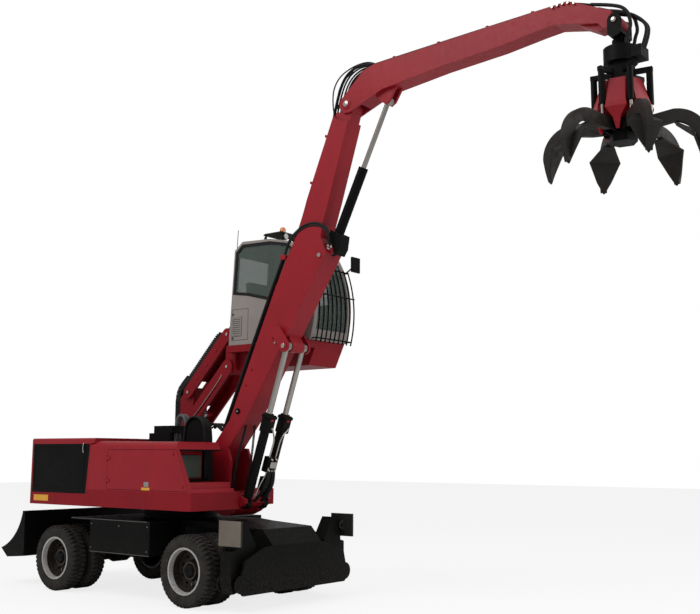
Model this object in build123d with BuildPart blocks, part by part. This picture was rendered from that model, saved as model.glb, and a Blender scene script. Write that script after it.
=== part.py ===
from build123d import *
import math
import os

# Lengths are in millimetres and angles in degrees. X points forward, Y to the left, Z up.
# The origin lies on the ground below the middle of the whole machine, and
# most places are measured from the slewing axis, which stands slew_x from it.
slew_x = -2900.65
seat_gap = 0.3
side_gap = 5

# Wheels: twin tyres on one rim, four sets
tyre_radius = 525
tyre_width = 280
twin_gap = 110
outer_face = 1360
shoulder = 40
bead_inset = 30
rim_radius = 341
rim_bore = 300
rim_lip = 15
disc_y = 1110
disc_thick = 30
hub_radius = 130
hub_inner_y = 760
hub_outer_y = 1225
spindle_radius = 80
spindle_end_y = 1025
half_wheelbase = 1525
axle_z = tyre_radius
inner_face = outer_face - 2 * tyre_width - twin_gap

# Axles and knuckles
axle_radius = 105
diff_radius = 150
diff_half_width = 130
saddle_y = 330
saddle_half = 70
kingpin_y = 660
kingpin_radius = 30
knuckle_radius = 75
knuckle_half_height = 125
yoke_half_x = 60
yoke_half_height = 190
yoke_web_y = 490
yoke_web_thick = 70
yoke_outer_y = 720

# Chassis
frame_bottom = 700
frame_top = 1100
plate_top = 1190
plate_thick = 30
plate_half_width = 1250
plate_rear_x = -1250
box_rear_x = -760
box_front_x = 660
box_bottom_z = 670
ring_radius = 600
ring_bore = 470
upper_bottom = 1380

# Stabiliser box and its folding arms
stab_rear_x = 2150
stab_front_x = 2550
stab_plate = 40
stab_bottom_z = 240
stab_top_z = 1120
stab_chamfer_z = 900
stab_chamfer_x = 2350
stab_core_y = 560
arm_rear_x = 2210
arm_front_x = 2430
arm_pivot_y = 1170
arm_pivot_z = 400
arm_pin_radius = 40
pad_pin_y = 1190
pad_pin_z = 1100
pad_pin_radius = 25
pad_face_y = 1300
pad_thick = 35
pad_bottom_z = 925
pad_top_z = 1280
pad_rear_x = 2180
pad_front_x = 2610

# Dozer blade at the rear
blade_half_width = 1300
blade_pivot_x = -2000
blade_pivot_z = 550
blade_arm_y = 240
blade_arm_thick = 50
blade_pin_radius = 35
blade_cylinder_y = 400
blade_barrel_x = -1650
blade_barrel_z = 950
blade_eye_x = -2290
blade_eye_z = 900

# Upper structure
deck_top = 1645
skirt_front_x = 1624
left_front_x = 860
nose_half = 300
rear_x = -2290
deck_step_x = -788
hood_left_front_x = -700
rear_deck_top = 1575
upper_half_width = 1330
rear_hood_top = 2468
side_hood_inner_y = 420
hood_wall = 30
hood_radius = 100
lid_radius = 35
recess_rear_x = 900
recess_wall = 35

# Boom foot, lift cylinders, stick and stick cylinder, all on the middle plane
boom_foot = (860, 2080)
boom_half = 165
overlay_half = 190
foot_pin_radius = 50
tower_inner_y = 200
tower_outer_y = 250
lift_foot = (1650, 1450)
lift_eye = (2445, 3865)
lift_y = 185
lift_barrel_radius = 72
lift_barrel_length = 1465
lift_rod_radius = 45
lift_rod_length = 1290
lift_eye_radius = 75
lift_eye_half = 45
lift_pocket_radius = 150
cheek_inner_y = lift_y + lift_eye_half + side_gap
cheek_outer_y = cheek_inner_y + 30
stick_pivot = (3547, 7515)
stick_pin_radius = 50
stick_half = 150
head_half = 115
head_clear_radius = 270
stick_foot = (3185, 5300)
stick_eye = (4237, 7467)
stick_barrel_radius = 75
stick_barrel_length = 1340
stick_rod_radius = 38
stick_rod_length = 1300
stick_eye_radius = 75
stick_eye_half = 45
tip_pin = (7860, 7690)
tip_pin_radius = 35

# Grab
grab_x = tip_pin[0]
swing_pin_z = 7440
swing_pin_radius = 30
tine_count = 6
tine_first_angle = 8.9
tine_pivot_r = 230
tine_pivot_z = 6300
tine_pin_radius = 22
tine_half = 50
lever_r = 344
lever_z = 6363
rod_r = 352
grab_barrel_radius = 42
grab_rod_radius = 22
hub_flat = 155

# Cab riser and cab
riser_y = 700
post_half = 170
post_rear_x = -660
post_front_x = -340
post_top_z = 3370
riser_plate = 40
arm_inner_half = 180
upper_arm_foot = (-431, 3291)
lower_arm_foot = (-414, 2736)
upper_arm_head = (490, 4250)
lower_arm_head = (507, 3695)
riser_pin_radius = 30
riser_foot = (-190, 1740)
riser_eye = (-231, 2906)
cab_right_y = 380
cab_left_y = 1330
cab_floor_z = 4035
cab_wall = 45
door_rear_x = 1150
door_front_x = 2150
door_bottom_z = 4095
door_top_z = 5440
door_gap = 8
door_hinge_heights = (4300, 5250)
door_hinge_y = cab_left_y + 12


def side(y=0):
    """Plane across the machine at y, drawn with x forward from the slewing axis and z up."""
    return Plane(origin=(slew_x, y, 0), x_dir=(1, 0, 0), z_dir=(0, -1, 0))


def level(z=0):
    """Plane at height z, drawn with x forward from the slewing axis and y to the left."""
    return Plane(origin=(slew_x, 0, z), x_dir=(1, 0, 0), z_dir=(0, 0, 1))


def across(x=0):
    """Plane at x from the slewing axis, drawn with y to the left and z up."""
    return Plane(origin=(slew_x + x, 0, 0), x_dir=(0, 1, 0), z_dir=(1, 0, 0))


def plate(points, left_y, right_y):
    """Plate with a side outline of x and z points, from left_y down to right_y."""
    with BuildPart() as piece:
        with BuildSketch(side(left_y)):
            with BuildLine():
                Polyline(*points, close=True)
            make_face()
        extrude(amount=left_y - right_y)
    return piece.part


def cross_bar(place, radius, left_y, right_y):
    """Round bar across the machine at an x and z place, from left_y down to right_y."""
    with BuildPart() as piece:
        with BuildSketch(side(left_y)):
            with Locations(place):
                Circle(radius)
        extrude(amount=left_y - right_y)
    return piece.part


def bar(start, end, y, radius, first=0, last=None):
    """Round bar at y along the line from start to end, between two distances from start."""
    dx = end[0] - start[0]
    dz = end[1] - start[1]
    length = math.hypot(dx, dz)
    stop = length if last is None else last
    line = Plane(origin=(slew_x + start[0], y, start[1]), z_dir=(dx, 0, dz))
    with BuildPart() as piece:
        with BuildSketch(line.offset(first)):
            Circle(radius)
        extrude(amount=stop - first)
    return piece.part


def block(x_range, y_range, z_range):
    """Plain block between two x, two y and two z values, x from the slewing axis."""
    with BuildPart() as piece:
        with BuildSketch(level(z_range[0])):
            with Locations(((x_range[0] + x_range[1]) / 2, (y_range[0] + y_range[1]) / 2)):
                Rectangle(x_range[1] - x_range[0], y_range[1] - y_range[0])
        extrude(amount=z_range[1] - z_range[0])
    return piece.part


def strip(start, end, half_width):
    """Outline of a strip with half-round ends about two x and z places, as a flat face."""
    dx = end[0] - start[0]
    dz = end[1] - start[1]
    length = math.hypot(dx, dz)
    with BuildSketch() as face:
        with Locations(Location(((start[0] + end[0]) / 2, (start[1] + end[1]) / 2, 0),
                                math.degrees(math.atan2(dz, dx)))):
            SlotCenterToCenter(length, 2 * half_width)
    return face.sketch


def link_plate(start, end, half_width, left_y, right_y):
    """Plate with half-round ends about two places, from left_y down to right_y."""
    with BuildPart() as piece:
        with BuildSketch(side(left_y)):
            add(strip(start, end, half_width))
        extrude(amount=left_y - right_y)
    return piece.part


def barrel(foot, eye, y, sizes):
    """Cylinder barrel: sizes are its radius, length, foot radius, half width, pin radius and rod radius."""
    radius, length, foot_radius, foot_half, pin_radius, rod_radius = sizes
    with BuildPart() as piece:
        add(bar(foot, eye, y, radius, foot_radius + 50, length))
        add(bar(foot, eye, y, foot_half * 0.9, 0, foot_radius + 60))
        add(cross_bar(foot, foot_radius, y + foot_half, y - foot_half))
        add(cross_bar(foot, pin_radius + seat_gap, y + foot_half, y - foot_half), mode=Mode.SUBTRACT)
        add(bar(foot, eye, y, rod_radius + seat_gap, foot_radius + 60, length), mode=Mode.SUBTRACT)
    return piece.part


def rod(foot, eye, y, sizes):
    """Cylinder rod: sizes are its radius, length from the eye, eye radius, eye half width and eye bore."""
    radius, length, eye_radius, eye_half, bore = sizes
    with BuildPart() as piece:
        add(bar(eye, foot, y, radius, 0, length))
        add(cross_bar(eye, eye_radius, y + eye_half, y - eye_half))
        add(cross_bar(eye, bore, y + eye_half, y - eye_half), mode=Mode.SUBTRACT)
    return piece.part


def turned(axle_x, points):
    """Solid turned about an axle, from points of y and radius."""
    centre = Plane(origin=(slew_x + axle_x, 0, axle_z), x_dir=(0, 1, 0), z_dir=(1, 0, 0))
    with BuildPart() as piece:
        with BuildSketch(centre):
            with BuildLine():
                Polyline(*points, close=True)
            make_face()
        revolve(axis=Axis((slew_x + axle_x, 0, axle_z), (0, 1, 0)))
    return piece.part


def tyre(axle_x, outer_y, sign):
    """One tyre whose outer face lies at outer_y, on the side given by sign."""
    inner_y = outer_y - tyre_width
    wall = tyre_radius - 1.4 * shoulder
    points = [
        (inner_y + bead_inset, rim_radius), (inner_y, rim_radius + bead_inset), (inner_y, wall),
        (inner_y + shoulder, tyre_radius), (outer_y - shoulder, tyre_radius), (outer_y, wall),
        (outer_y, rim_radius + bead_inset), (outer_y - bead_inset, rim_radius),
    ]
    return turned(axle_x, [(sign * y, radius) for y, radius in points])


def rim(axle_x, sign):
    """Rim of one twin set with its disc and hub, which turns on the spindle."""
    rim_out = outer_face - rim_lip
    rim_in = inner_face + bead_inset
    seat = rim_radius - seat_gap
    points = [
        (rim_in, seat), (rim_out, seat), (rim_out, rim_bore + 12), (rim_out - 60, rim_bore),
        (disc_y + disc_thick, rim_bore), (disc_y + disc_thick, hub_radius + 30), (hub_outer_y, hub_radius),
        (hub_outer_y, 0), (spindle_end_y + side_gap, 0), (spindle_end_y + side_gap, spindle_radius + seat_gap),
        (hub_inner_y, spindle_radius + seat_gap), (hub_inner_y, hub_radius), (disc_y, hub_radius + 30),
        (disc_y, rim_bore), (rim_in, rim_bore),
    ]
    return turned(axle_x, [(sign * y, radius) for y, radius in points])


# Chassis: frame, side boxes, top plate, ring seat, stabiliser box and blade brackets
with BuildPart() as chassis:
    with BuildSketch(level(frame_bottom)):
        with BuildLine():
            Polyline((-1990, -300), (-1050, -300), (-800, -600), (750, -600), (1000, -440), (stab_rear_x, -440),
                     (stab_rear_x, 440), (1000, 440), (750, 600), (-800, 600), (-1050, 300), (-1990, 300),
                     close=True)
        make_face()
    extrude(amount=frame_top - frame_bottom)
    with BuildSketch(level(frame_top)):
        Circle(ring_radius + 40)
    extrude(amount=plate_top - frame_top)
    add(block((plate_rear_x, box_front_x), (-plate_half_width, plate_half_width),
              (plate_top - plate_thick, plate_top)))
    for sign in (-1, 1):
        y_range = sorted((sign * (600 - 1), sign * plate_half_width))
        add(block((box_rear_x, box_front_x), y_range, (box_bottom_z, plate_top - plate_thick)))
    add(plate([(stab_rear_x, stab_bottom_z), (stab_front_x, stab_bottom_z), (stab_front_x, stab_chamfer_z),
               (stab_chamfer_x, stab_top_z), (1500, plate_top - 20), (1500, frame_top),
               (stab_rear_x, frame_top)], stab_core_y, -stab_core_y))
    add(plate([(600, plate_top), (1250, plate_top), (1800, 1135), (2200, 1125), (2200, frame_top - 1),
               (600, frame_top - 1)], 600, -600))
    for sign in (-1, 1):
        add(plate([(-1700, frame_bottom + 1), (-1990, frame_bottom + 1), (-2060, 620), (-2060, 500),
                   (-1960, 460), (-1850, 480)], sign * 210 + 25, sign * 210 - 25))
    add(cross_bar((blade_pivot_x, blade_pivot_z), blade_pin_radius, 300, -300))
    for sign in (-1, 1):
        outer = sign * (blade_cylinder_y + 60)
        inner = sign * 299
        add(cross_bar((blade_barrel_x, blade_barrel_z), 30, max(outer, inner), min(outer, inner)))
chassis.part.label = "chassis"

# End plates of the stabiliser box, two on each side, with the pins of the folding arms
plate_outline = [
    (stab_core_y + seat_gap, stab_bottom_z), (1150, stab_bottom_z), (1180, 268), (1180, 532), (1125, 730),
    (720, 882), (stab_core_y + seat_gap, stab_chamfer_z),
]
with BuildPart() as stabiliser_plates:
    for sign in (-1, 1):
        for plate_x in (stab_rear_x, stab_front_x - stab_plate):
            with BuildSketch(across(plate_x)):
                with BuildLine():
                    Polyline(*[(sign * y, z) for y, z in plate_outline], close=True)
                make_face()
                with Locations((sign * arm_pivot_y, arm_pivot_z)):
                    Circle(130)
            extrude(amount=stab_plate)
        with BuildSketch(across(stab_rear_x)):
            with Locations((sign * arm_pivot_y, arm_pivot_z)):
                Circle(arm_pin_radius)
        extrude(amount=stab_front_x - stab_rear_x)
stabiliser_plates.part.label = "stabiliser_plates"

# Axles: the fixed one in front and the steering one behind, with its yokes and kingpins
with BuildPart() as axles:
    add(turned(half_wheelbase, [
        (-spindle_end_y, 0), (-spindle_end_y, spindle_radius), (-hub_inner_y + side_gap, spindle_radius),
        (-hub_inner_y + side_gap, axle_radius), (-diff_half_width - 90, axle_radius),
        (-diff_half_width, diff_radius), (diff_half_width, diff_radius), (diff_half_width + 90, axle_radius),
        (hub_inner_y - side_gap, axle_radius), (hub_inner_y - side_gap, spindle_radius),
        (spindle_end_y, spindle_radius), (spindle_end_y, 0),
    ]))
    add(turned(-half_wheelbase, [
        (-yoke_web_y - 1, 0), (-yoke_web_y - 1, axle_radius), (-diff_half_width - 90, axle_radius),
        (-diff_half_width, diff_radius), (diff_half_width, diff_radius), (diff_half_width + 90, axle_radius),
        (yoke_web_y + 1, axle_radius), (yoke_web_y + 1, 0),
    ]))
    for axle_x in (-half_wheelbase, half_wheelbase):
        for sign in (-1, 1):
            inner = sign * (saddle_y - saddle_half)
            limit = 295 if axle_x < 0 else 440
            y_range = sorted((inner, sign * min(saddle_y + saddle_half, limit)))
            add(block((axle_x - 90, axle_x + 90), y_range, (axle_z, frame_bottom)))
    for sign in (-1, 1):
        web = sorted((sign * yoke_web_y, sign * (yoke_web_y + yoke_web_thick)))
        add(block((-half_wheelbase - yoke_half_x, -half_wheelbase + yoke_half_x), web,
                  (axle_z - yoke_half_height, axle_z + yoke_half_height)))
        lug = sorted((sign * (yoke_web_y + yoke_web_thick - 1), sign * yoke_outer_y))
        inner_z = knuckle_half_height + side_gap
        add(block((-half_wheelbase - yoke_half_x, -half_wheelbase + yoke_half_x), lug,
                  (axle_z + inner_z, axle_z + yoke_half_height)))
        add(block((-half_wheelbase - yoke_half_x, -half_wheelbase + yoke_half_x), lug,
                  (axle_z - yoke_half_height, axle_z - inner_z)))
        with BuildSketch(level(axle_z - inner_z - 1)):
            with Locations((-half_wheelbase, sign * kingpin_y)):
                Circle(kingpin_radius)
        extrude(amount=2 * inner_z + 2)
axles.part.label = "axles"


def knuckle(sign):
    """Steering knuckle: a boss on the kingpin and the spindle that carries the wheel."""
    x = -half_wheelbase
    with BuildPart() as piece:
        with BuildSketch(level(axle_z - knuckle_half_height)):
            with Locations((x, sign * kingpin_y)):
                Circle(knuckle_radius)
        extrude(amount=2 * knuckle_half_height)
        add(turned(x, [(sign * kingpin_y, 0), (sign * kingpin_y, 60), (sign * (yoke_outer_y + 15), 70),
                       (sign * (yoke_outer_y + 15), 120), (sign * (hub_inner_y - side_gap), 120),
                       (sign * (hub_inner_y - side_gap), spindle_radius),
                       (sign * spindle_end_y, spindle_radius), (sign * spindle_end_y, 0)]))
        with BuildSketch(level(axle_z - knuckle_half_height - 1)):
            with Locations((x, sign * kingpin_y)):
                Circle(kingpin_radius + seat_gap)
        extrude(amount=2 * knuckle_half_height + 2, mode=Mode.SUBTRACT)
    return piece.part


# Slewing ring between the chassis and the upper
with BuildPart() as slew_ring:
    with BuildSketch(level(plate_top + seat_gap)):
        Circle(ring_radius)
        Circle(ring_bore, mode=Mode.SUBTRACT)
    extrude(amount=upper_bottom - plate_top - 2 * seat_gap)
    with BuildSketch(level(plate_top + 60)):
        Circle(ring_radius + 30)
        Circle(ring_radius - 1, mode=Mode.SUBTRACT)
    extrude(amount=70)
slew_ring.part.label = "slew_ring"

# Dozer blade: curved board, sole, side plates and two arms
with BuildPart() as blade:
    with BuildSketch(side(blade_half_width)):
        with BuildLine():
            ThreePointArc((-2515, 1245), (-2669, 898), (-3090, 605))
            Polyline((-3090, 605), (-2908, 457), (-2440, 495), (-2440, 760), (-2460, 1245), (-2515, 1245))
        make_face()
    extrude(amount=2 * blade_half_width)
    for sign in (-1, 1):
        mid = sign * (blade_arm_y + blade_arm_thick / 2)
        add(plate([(blade_pivot_x + 60, blade_pivot_z + 40), (blade_pivot_x + 60, blade_pivot_z - 50),
                   (-2100, 480), (-2441, 500), (-2441, 760), (-2200, 700), (-2060, 640)],
                  mid + blade_arm_thick / 2, mid - blade_arm_thick / 2))
        for shift in (-60, 60):
            cheek = sign * blade_cylinder_y + shift
            add(plate([(-2455, 1020), (-2260, 960), (-2230, 880), (-2441, 780)], cheek + 12, cheek - 12))
    add(cross_bar((blade_pivot_x, blade_pivot_z), blade_pin_radius + seat_gap, 400, -400), mode=Mode.SUBTRACT)
blade.part.label = "blade"

# Blade cylinders, a pair that moves together
blade_foot = (blade_barrel_x, blade_barrel_z)
blade_eye = (blade_eye_x, blade_eye_z)
with BuildPart() as blade_barrels:
    for sign in (-1, 1):
        add(barrel(blade_foot, blade_eye, sign * blade_cylinder_y, (45, 520, 55, 38, 30, 25)))
blade_barrels.part.label = "blade_barrels"

with BuildPart() as blade_rods:
    for sign in (-1, 1):
        add(rod(blade_foot, blade_eye, sign * blade_cylinder_y, (25, 400, 45, 38, 18)))
blade_rods.part.label = "blade_rods"


def stabiliser_arm(sign):
    """Stabiliser arm, folded up, with the pin that carries its pad."""
    outline = [
        (1060, 300), (1240, 262), (1290, 400), (1285, 850), (1195, 875), (1190, 1030), (1235, 1065),
        (1235, 1135), (1190, 1160), (1000, 1240), (905, 1100), (780, 900), (810, 780), (1010, 500),
    ]
    with BuildPart() as piece:
        with BuildSketch(across(arm_rear_x)):
            with BuildLine():
                Polyline(*[(sign * y, z) for y, z in outline], close=True)
            make_face()
            with Locations((sign * arm_pivot_y, arm_pivot_z)):
                Circle(arm_pin_radius + seat_gap, mode=Mode.SUBTRACT)
        extrude(amount=arm_front_x - arm_rear_x)
        with BuildSketch(across(arm_rear_x - 35)):
            with Locations((sign * pad_pin_y, pad_pin_z)):
                Circle(pad_pin_radius)
        extrude(amount=arm_front_x - arm_rear_x + 70)
    return piece.part


def stabiliser_pad(sign):
    """Pad that stands on the ground when its arm is down: a plate with two lugs on the pin."""
    face = sorted((sign * pad_face_y, sign * (pad_face_y - pad_thick)))
    with BuildPart() as piece:
        add(block((pad_rear_x, pad_front_x), face, (pad_bottom_z, pad_top_z)))
        for lug_x in (arm_rear_x - side_gap - 25, arm_front_x + side_gap):
            with BuildSketch(across(lug_x)):
                with BuildLine():
                    Polyline((sign * (pad_face_y - pad_thick + 1), pad_pin_z - 90),
                             (sign * (pad_pin_y - 45), pad_pin_z - 40),
                             (sign * (pad_pin_y - 45), pad_pin_z + 40),
                             (sign * (pad_face_y - pad_thick + 1), pad_pin_z + 90), close=True)
                make_face()
                with Locations((sign * pad_pin_y, pad_pin_z)):
                    Circle(pad_pin_radius + seat_gap, mode=Mode.SUBTRACT)
            extrude(amount=25)
    return piece.part


# Platform: deck, nose, boom tower, riser post and the boom's foot pin
with BuildPart() as platform:
    with BuildSketch(level(upper_bottom)):
        with BuildLine():
            Polyline((rear_x, -upper_half_width), (skirt_front_x, -upper_half_width), (skirt_front_x, -nose_half),
                     (900, -nose_half), (900, nose_half), (left_front_x, nose_half),
                     (left_front_x, upper_half_width), (rear_x, upper_half_width), close=True)
        make_face()
    extrude(amount=rear_deck_top - upper_bottom)
    step_y = -side_hood_inner_y - seat_gap
    for x_range, y_range in (((deck_step_x, skirt_front_x), (-upper_half_width, step_y)),
                             ((hood_left_front_x + seat_gap, left_front_x), (step_y, upper_half_width)),
                             ((left_front_x - 1, skirt_front_x), (step_y, -nose_half))):
        add(block(x_range, y_range, (rear_deck_top, deck_top)))
    add(plate([(850, deck_top), (1450, deck_top), (1450, 1620), (1600, 1580), (1650, 1566), (1737, 1528),
               (1725, 1465), (1524, 1330), (1370, 1268), (1250, 1268), (890, 1385), (850, 1385)],
              nose_half, -nose_half))
    for sign in (-1, 1):
        left = max(sign * tower_inner_y, sign * tower_outer_y)
        right = min(sign * tower_inner_y, sign * tower_outer_y)
        add(plate([(350, deck_top - 1), (1330, deck_top - 1), (1359, 2111), (1283, 2306), (1080, 2320),
                   (860, 2250), (700, 2150)], left, right))
    add(cross_bar(boom_foot, foot_pin_radius, tower_outer_y, -tower_outer_y))
    add(plate([(post_rear_x, deck_top - 1), (post_front_x, deck_top - 1), (post_front_x, post_top_z),
               (-500, post_top_z), (post_rear_x, 3190)], riser_y + post_half, riser_y - post_half))
    add(block((-600, 350), (980, upper_half_width), (deck_top - 1, 2200)))
    for foot in (upper_arm_foot, lower_arm_foot):
        add(cross_bar(foot, riser_pin_radius, riser_y + 225, riser_y - 225))
    for shift in (-65, 65):
        add(plate([(-290, deck_top - 1), (-90, deck_top - 1), (-140, 1790), (-240, 1790)],
                  riser_y + shift + 12, riser_y + shift - 12))
    add(cross_bar(riser_foot, 25, riser_y + 77, riser_y - 77))
    with BuildSketch(level(1260)):
        with Locations((1690, lift_y), (1690, -lift_y)):
            Rectangle(250, 2 * (lift_eye_half + side_gap))
    extrude(amount=deck_top - 1250, mode=Mode.SUBTRACT)
    add(cross_bar(lift_foot, 40, cheek_outer_y, -cheek_outer_y))
platform.part.label = "platform"

# Engine hood at the rear, open below, with a leaning front edge and a lid that laps the side hood
hood_bottom = rear_deck_top + seat_gap
lid_bottom = 2385
lid_front_x = -630
panel_top_z = 2375


def panel_outline(gap):
    """Side outline of the black side panels of the engine hood, drawn in by a gap."""
    return [(rear_x + 40 + gap, hood_bottom), (rear_x + 40 + gap, panel_top_z - gap),
            (-745 - gap, panel_top_z - gap), (-822 - gap, hood_bottom)]


with BuildPart() as engine_hood:
    add(plate([(rear_x, hood_bottom), (rear_x, rear_hood_top), (lid_front_x, rear_hood_top),
               (lid_front_x, lid_bottom), (-722, lid_bottom), (-799, hood_bottom)],
              -side_hood_inner_y, -upper_half_width))
    add(plate([(rear_x, hood_bottom), (rear_x, rear_hood_top), (hood_left_front_x, rear_hood_top),
               (hood_left_front_x, hood_bottom)], upper_half_width, -side_hood_inner_y))
    top_edges = engine_hood.edges().filter_by(Axis.X).group_by(Axis.Z)[-1].sort_by(Axis.Y)
    fillet([top_edges[0], top_edges[-1]], lid_radius)
    add(block((rear_x + hood_wall, -830), (-upper_half_width + hood_wall, upper_half_width - hood_wall),
              (rear_deck_top - 1, rear_hood_top - hood_wall)), mode=Mode.SUBTRACT)
    for side_y in (-upper_half_width, upper_half_width - hood_wall):
        add(plate(panel_outline(0), side_y + hood_wall + 1, side_y - 1), mode=Mode.SUBTRACT)
        add(block((rear_x + 41, -823), (side_y - 1, side_y + hood_wall + 1), (rear_deck_top - 1, hood_bottom + 1)),
            mode=Mode.SUBTRACT)
engine_hood.part.label = "engine_hood"

# Black panels in both sides of the engine hood
with BuildPart() as grille_panel:
    for side_y in (-upper_half_width, upper_half_width - hood_wall):
        add(plate(panel_outline(seat_gap), side_y + hood_wall, side_y))
grille_panel.part.label = "grille_panel"

# Side hood on the right, open in front, with the opening of its service door
door_outline = [(-295, 1665), (1560, 1665), (1290, 2275), (-295, 2275)]
door_opening = [(-301, 1659), (1570, 1659), (1294, 2281), (-301, 2281)]
service_hinge = (-298, -upper_half_width - 7)
service_heights = (1800, 2150)
hinge_pin_radius = 4
side_hood_top = 2420
with BuildPart() as side_hood:
    add(plate([(deck_step_x, deck_top + seat_gap), (-718, 2380), (-626, 2380), (-626, side_hood_top),
               (1257, side_hood_top - 20), (1622, deck_top + seat_gap)], -side_hood_inner_y, -upper_half_width))
    long_edges = [edge for edge in side_hood.edges() if edge.length > 1500 and edge.center().Z > 2300]
    fillet(sorted(long_edges, key=lambda edge: edge.center().Y)[0], hood_radius)
    add(block((-690, recess_rear_x - hood_wall),
              (-upper_half_width + hood_wall, -side_hood_inner_y - hood_wall), (deck_top - 1, 2340)),
        mode=Mode.SUBTRACT)
    add(block((recess_rear_x, 1700), (-upper_half_width + recess_wall, -side_hood_inner_y + 1), (1700, 2285)),
        mode=Mode.SUBTRACT)
    add(plate(door_opening, -upper_half_width + recess_wall + 1, -upper_half_width - 1), mode=Mode.SUBTRACT)
    for z in service_heights:
        with BuildSketch(level(z - 40)):
            with Locations(service_hinge):
                Circle(hinge_pin_radius)
        extrude(amount=80)
        for z_range in ((z - 40, z - 25), (z + 25, z + 40)):
            add(block((-330, service_hinge[0] + 4), (service_hinge[1] - 5, service_hinge[1] + 5.5), z_range))
            add(block((-330, -301.5), (service_hinge[1] - 5, -upper_half_width + 1), z_range))
side_hood.part.label = "side_hood"

# Service door of the side hood, hinged at its rear edge
with BuildPart() as hood_door:
    add(plate(door_outline, -upper_half_width + hood_wall, -upper_half_width))
    for z in service_heights:
        add(block((service_hinge[0], service_hinge[0] + 60), (service_hinge[1] - 5, -upper_half_width + 1),
                  (z - 22, z + 22)))
        with BuildSketch(level(z - 22)):
            with Locations(service_hinge):
                Circle(hinge_pin_radius + 2)
        extrude(amount=44)
        with BuildSketch(level(z - 42)):
            with Locations(service_hinge):
                Circle(hinge_pin_radius + seat_gap)
        extrude(amount=84, mode=Mode.SUBTRACT)
hood_door.part.label = "hood_door"

# Engine, one plain block on the deck under the hood
with BuildPart() as engine:
    add(block((-1900, -950), (-450, 500), (rear_deck_top + seat_gap, 2300)))
engine.part.label = "engine"

# Valve block and hose bundle between the hoods and the boom, and the drag chain's leg behind the post
with BuildPart() as valve_block:
    add(block((-416, 90), (-380, 380), (deck_top + seat_gap, 2560)))
    add(block((-300, 140), (-380, -60), (2559, 2679)))
    add(plate([(445, deck_top + seat_gap), (929, deck_top + seat_gap), (929, 2580), (870, 2700), (690, 2770),
               (510, 2700), (445, 2580)], -270, -390))
    add(block((-790, post_rear_x - seat_gap), (535, 645), (2500, 3190)))
valve_block.part.label = "valve_block"

# Boom: tapered gooseneck box with side overlays, lift cheeks and stick cylinder cheeks
boom_box = [
    (760, 2190), (760, 1970), (960, 1960), (1190, 2253), (1607, 2750), (2867, 4722), (3060, 5150),
    (3110, 5700), (3227, 6056), (3640, 7400), (3330, 7430), (2791, 6124), (2680, 5793), (2427, 5255),
    (2187, 4789), (1258, 2756), (1039, 2505),
]
overlay = [
    (740, 2150), (780, 1990), (960, 1960), (1190, 2253), (1607, 2750), (2867, 4722), (3210, 5251),
    (3094, 5488), (3122, 5645), (3059, 5700), (2887, 5723), (2680, 5678), (2427, 5255),
    (2187, 4789), (1258, 2756), (1039, 2505),
]
lift_tube = (2290, 4090)
with BuildPart() as boom:
    add(plate(boom_box, boom_half, -boom_half))
    add(plate(overlay, overlay_half, -overlay_half))
    add(cross_bar(boom_foot, 130, overlay_half, -overlay_half))
    add(cross_bar(boom_foot, foot_pin_radius + seat_gap, overlay_half + 1, -overlay_half - 1),
        mode=Mode.SUBTRACT)
    for sign in (-1, 1):
        pocket = sorted((sign * (lift_y - lift_eye_half - side_gap), sign * (lift_y + lift_eye_half + side_gap)))
        add(cross_bar(lift_eye, lift_pocket_radius, pocket[1], pocket[0]), mode=Mode.SUBTRACT)
    add(cross_bar(lift_tube, 70, cheek_outer_y, -cheek_outer_y))
    add(link_plate(lift_tube, lift_eye, 90, lift_y - lift_eye_half - side_gap,
                   -lift_y + lift_eye_half + side_gap))
    for sign in (-1, 1):
        left = max(sign * cheek_inner_y, sign * cheek_outer_y)
        right = min(sign * cheek_inner_y, sign * cheek_outer_y)
        add(link_plate(lift_tube, lift_eye, 95, left, right))
        cheek = sign * (stick_eye_half + side_gap + 20)
        add(link_plate((3060, 5270), stick_foot, 75, cheek + 20, cheek - 20))
    add(cross_bar(stick_foot, stick_eye_radius + side_gap + 2, stick_eye_half + side_gap,
                  -stick_eye_half - side_gap), mode=Mode.SUBTRACT)
    add(cross_bar(stick_foot, 35, 90, -90))
    for sign in (-1, 1):
        left = max(sign * head_half, sign * 300)
        right = min(sign * head_half, sign * 300)
        add(cross_bar(stick_pivot, head_clear_radius, left, right), mode=Mode.SUBTRACT)
    add(cross_bar(stick_pivot, 150, head_half, -head_half))
    add(plate([(3400, 7400), (3560, 7380), (3560, 7200), (3300, 7200)], head_half, -head_half))
    add(cross_bar(stick_pivot, stick_pin_radius + seat_gap, head_half + 1, -head_half - 1), mode=Mode.SUBTRACT)
boom.part.label = "boom"

lift_sizes = (lift_barrel_radius, lift_barrel_length, lift_eye_radius, lift_eye_half, 40, lift_rod_radius)
with BuildPart() as lift_barrels:
    for sign in (-1, 1):
        add(barrel(lift_foot, lift_eye, sign * lift_y, lift_sizes))
lift_barrels.part.label = "lift_barrels"

with BuildPart() as lift_rods:
    for sign in (-1, 1):
        add(rod(lift_foot, lift_eye, sign * lift_y,
                (lift_rod_radius, lift_rod_length, lift_eye_radius, lift_eye_half, 35)))
lift_rods.part.label = "lift_rods"

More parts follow.
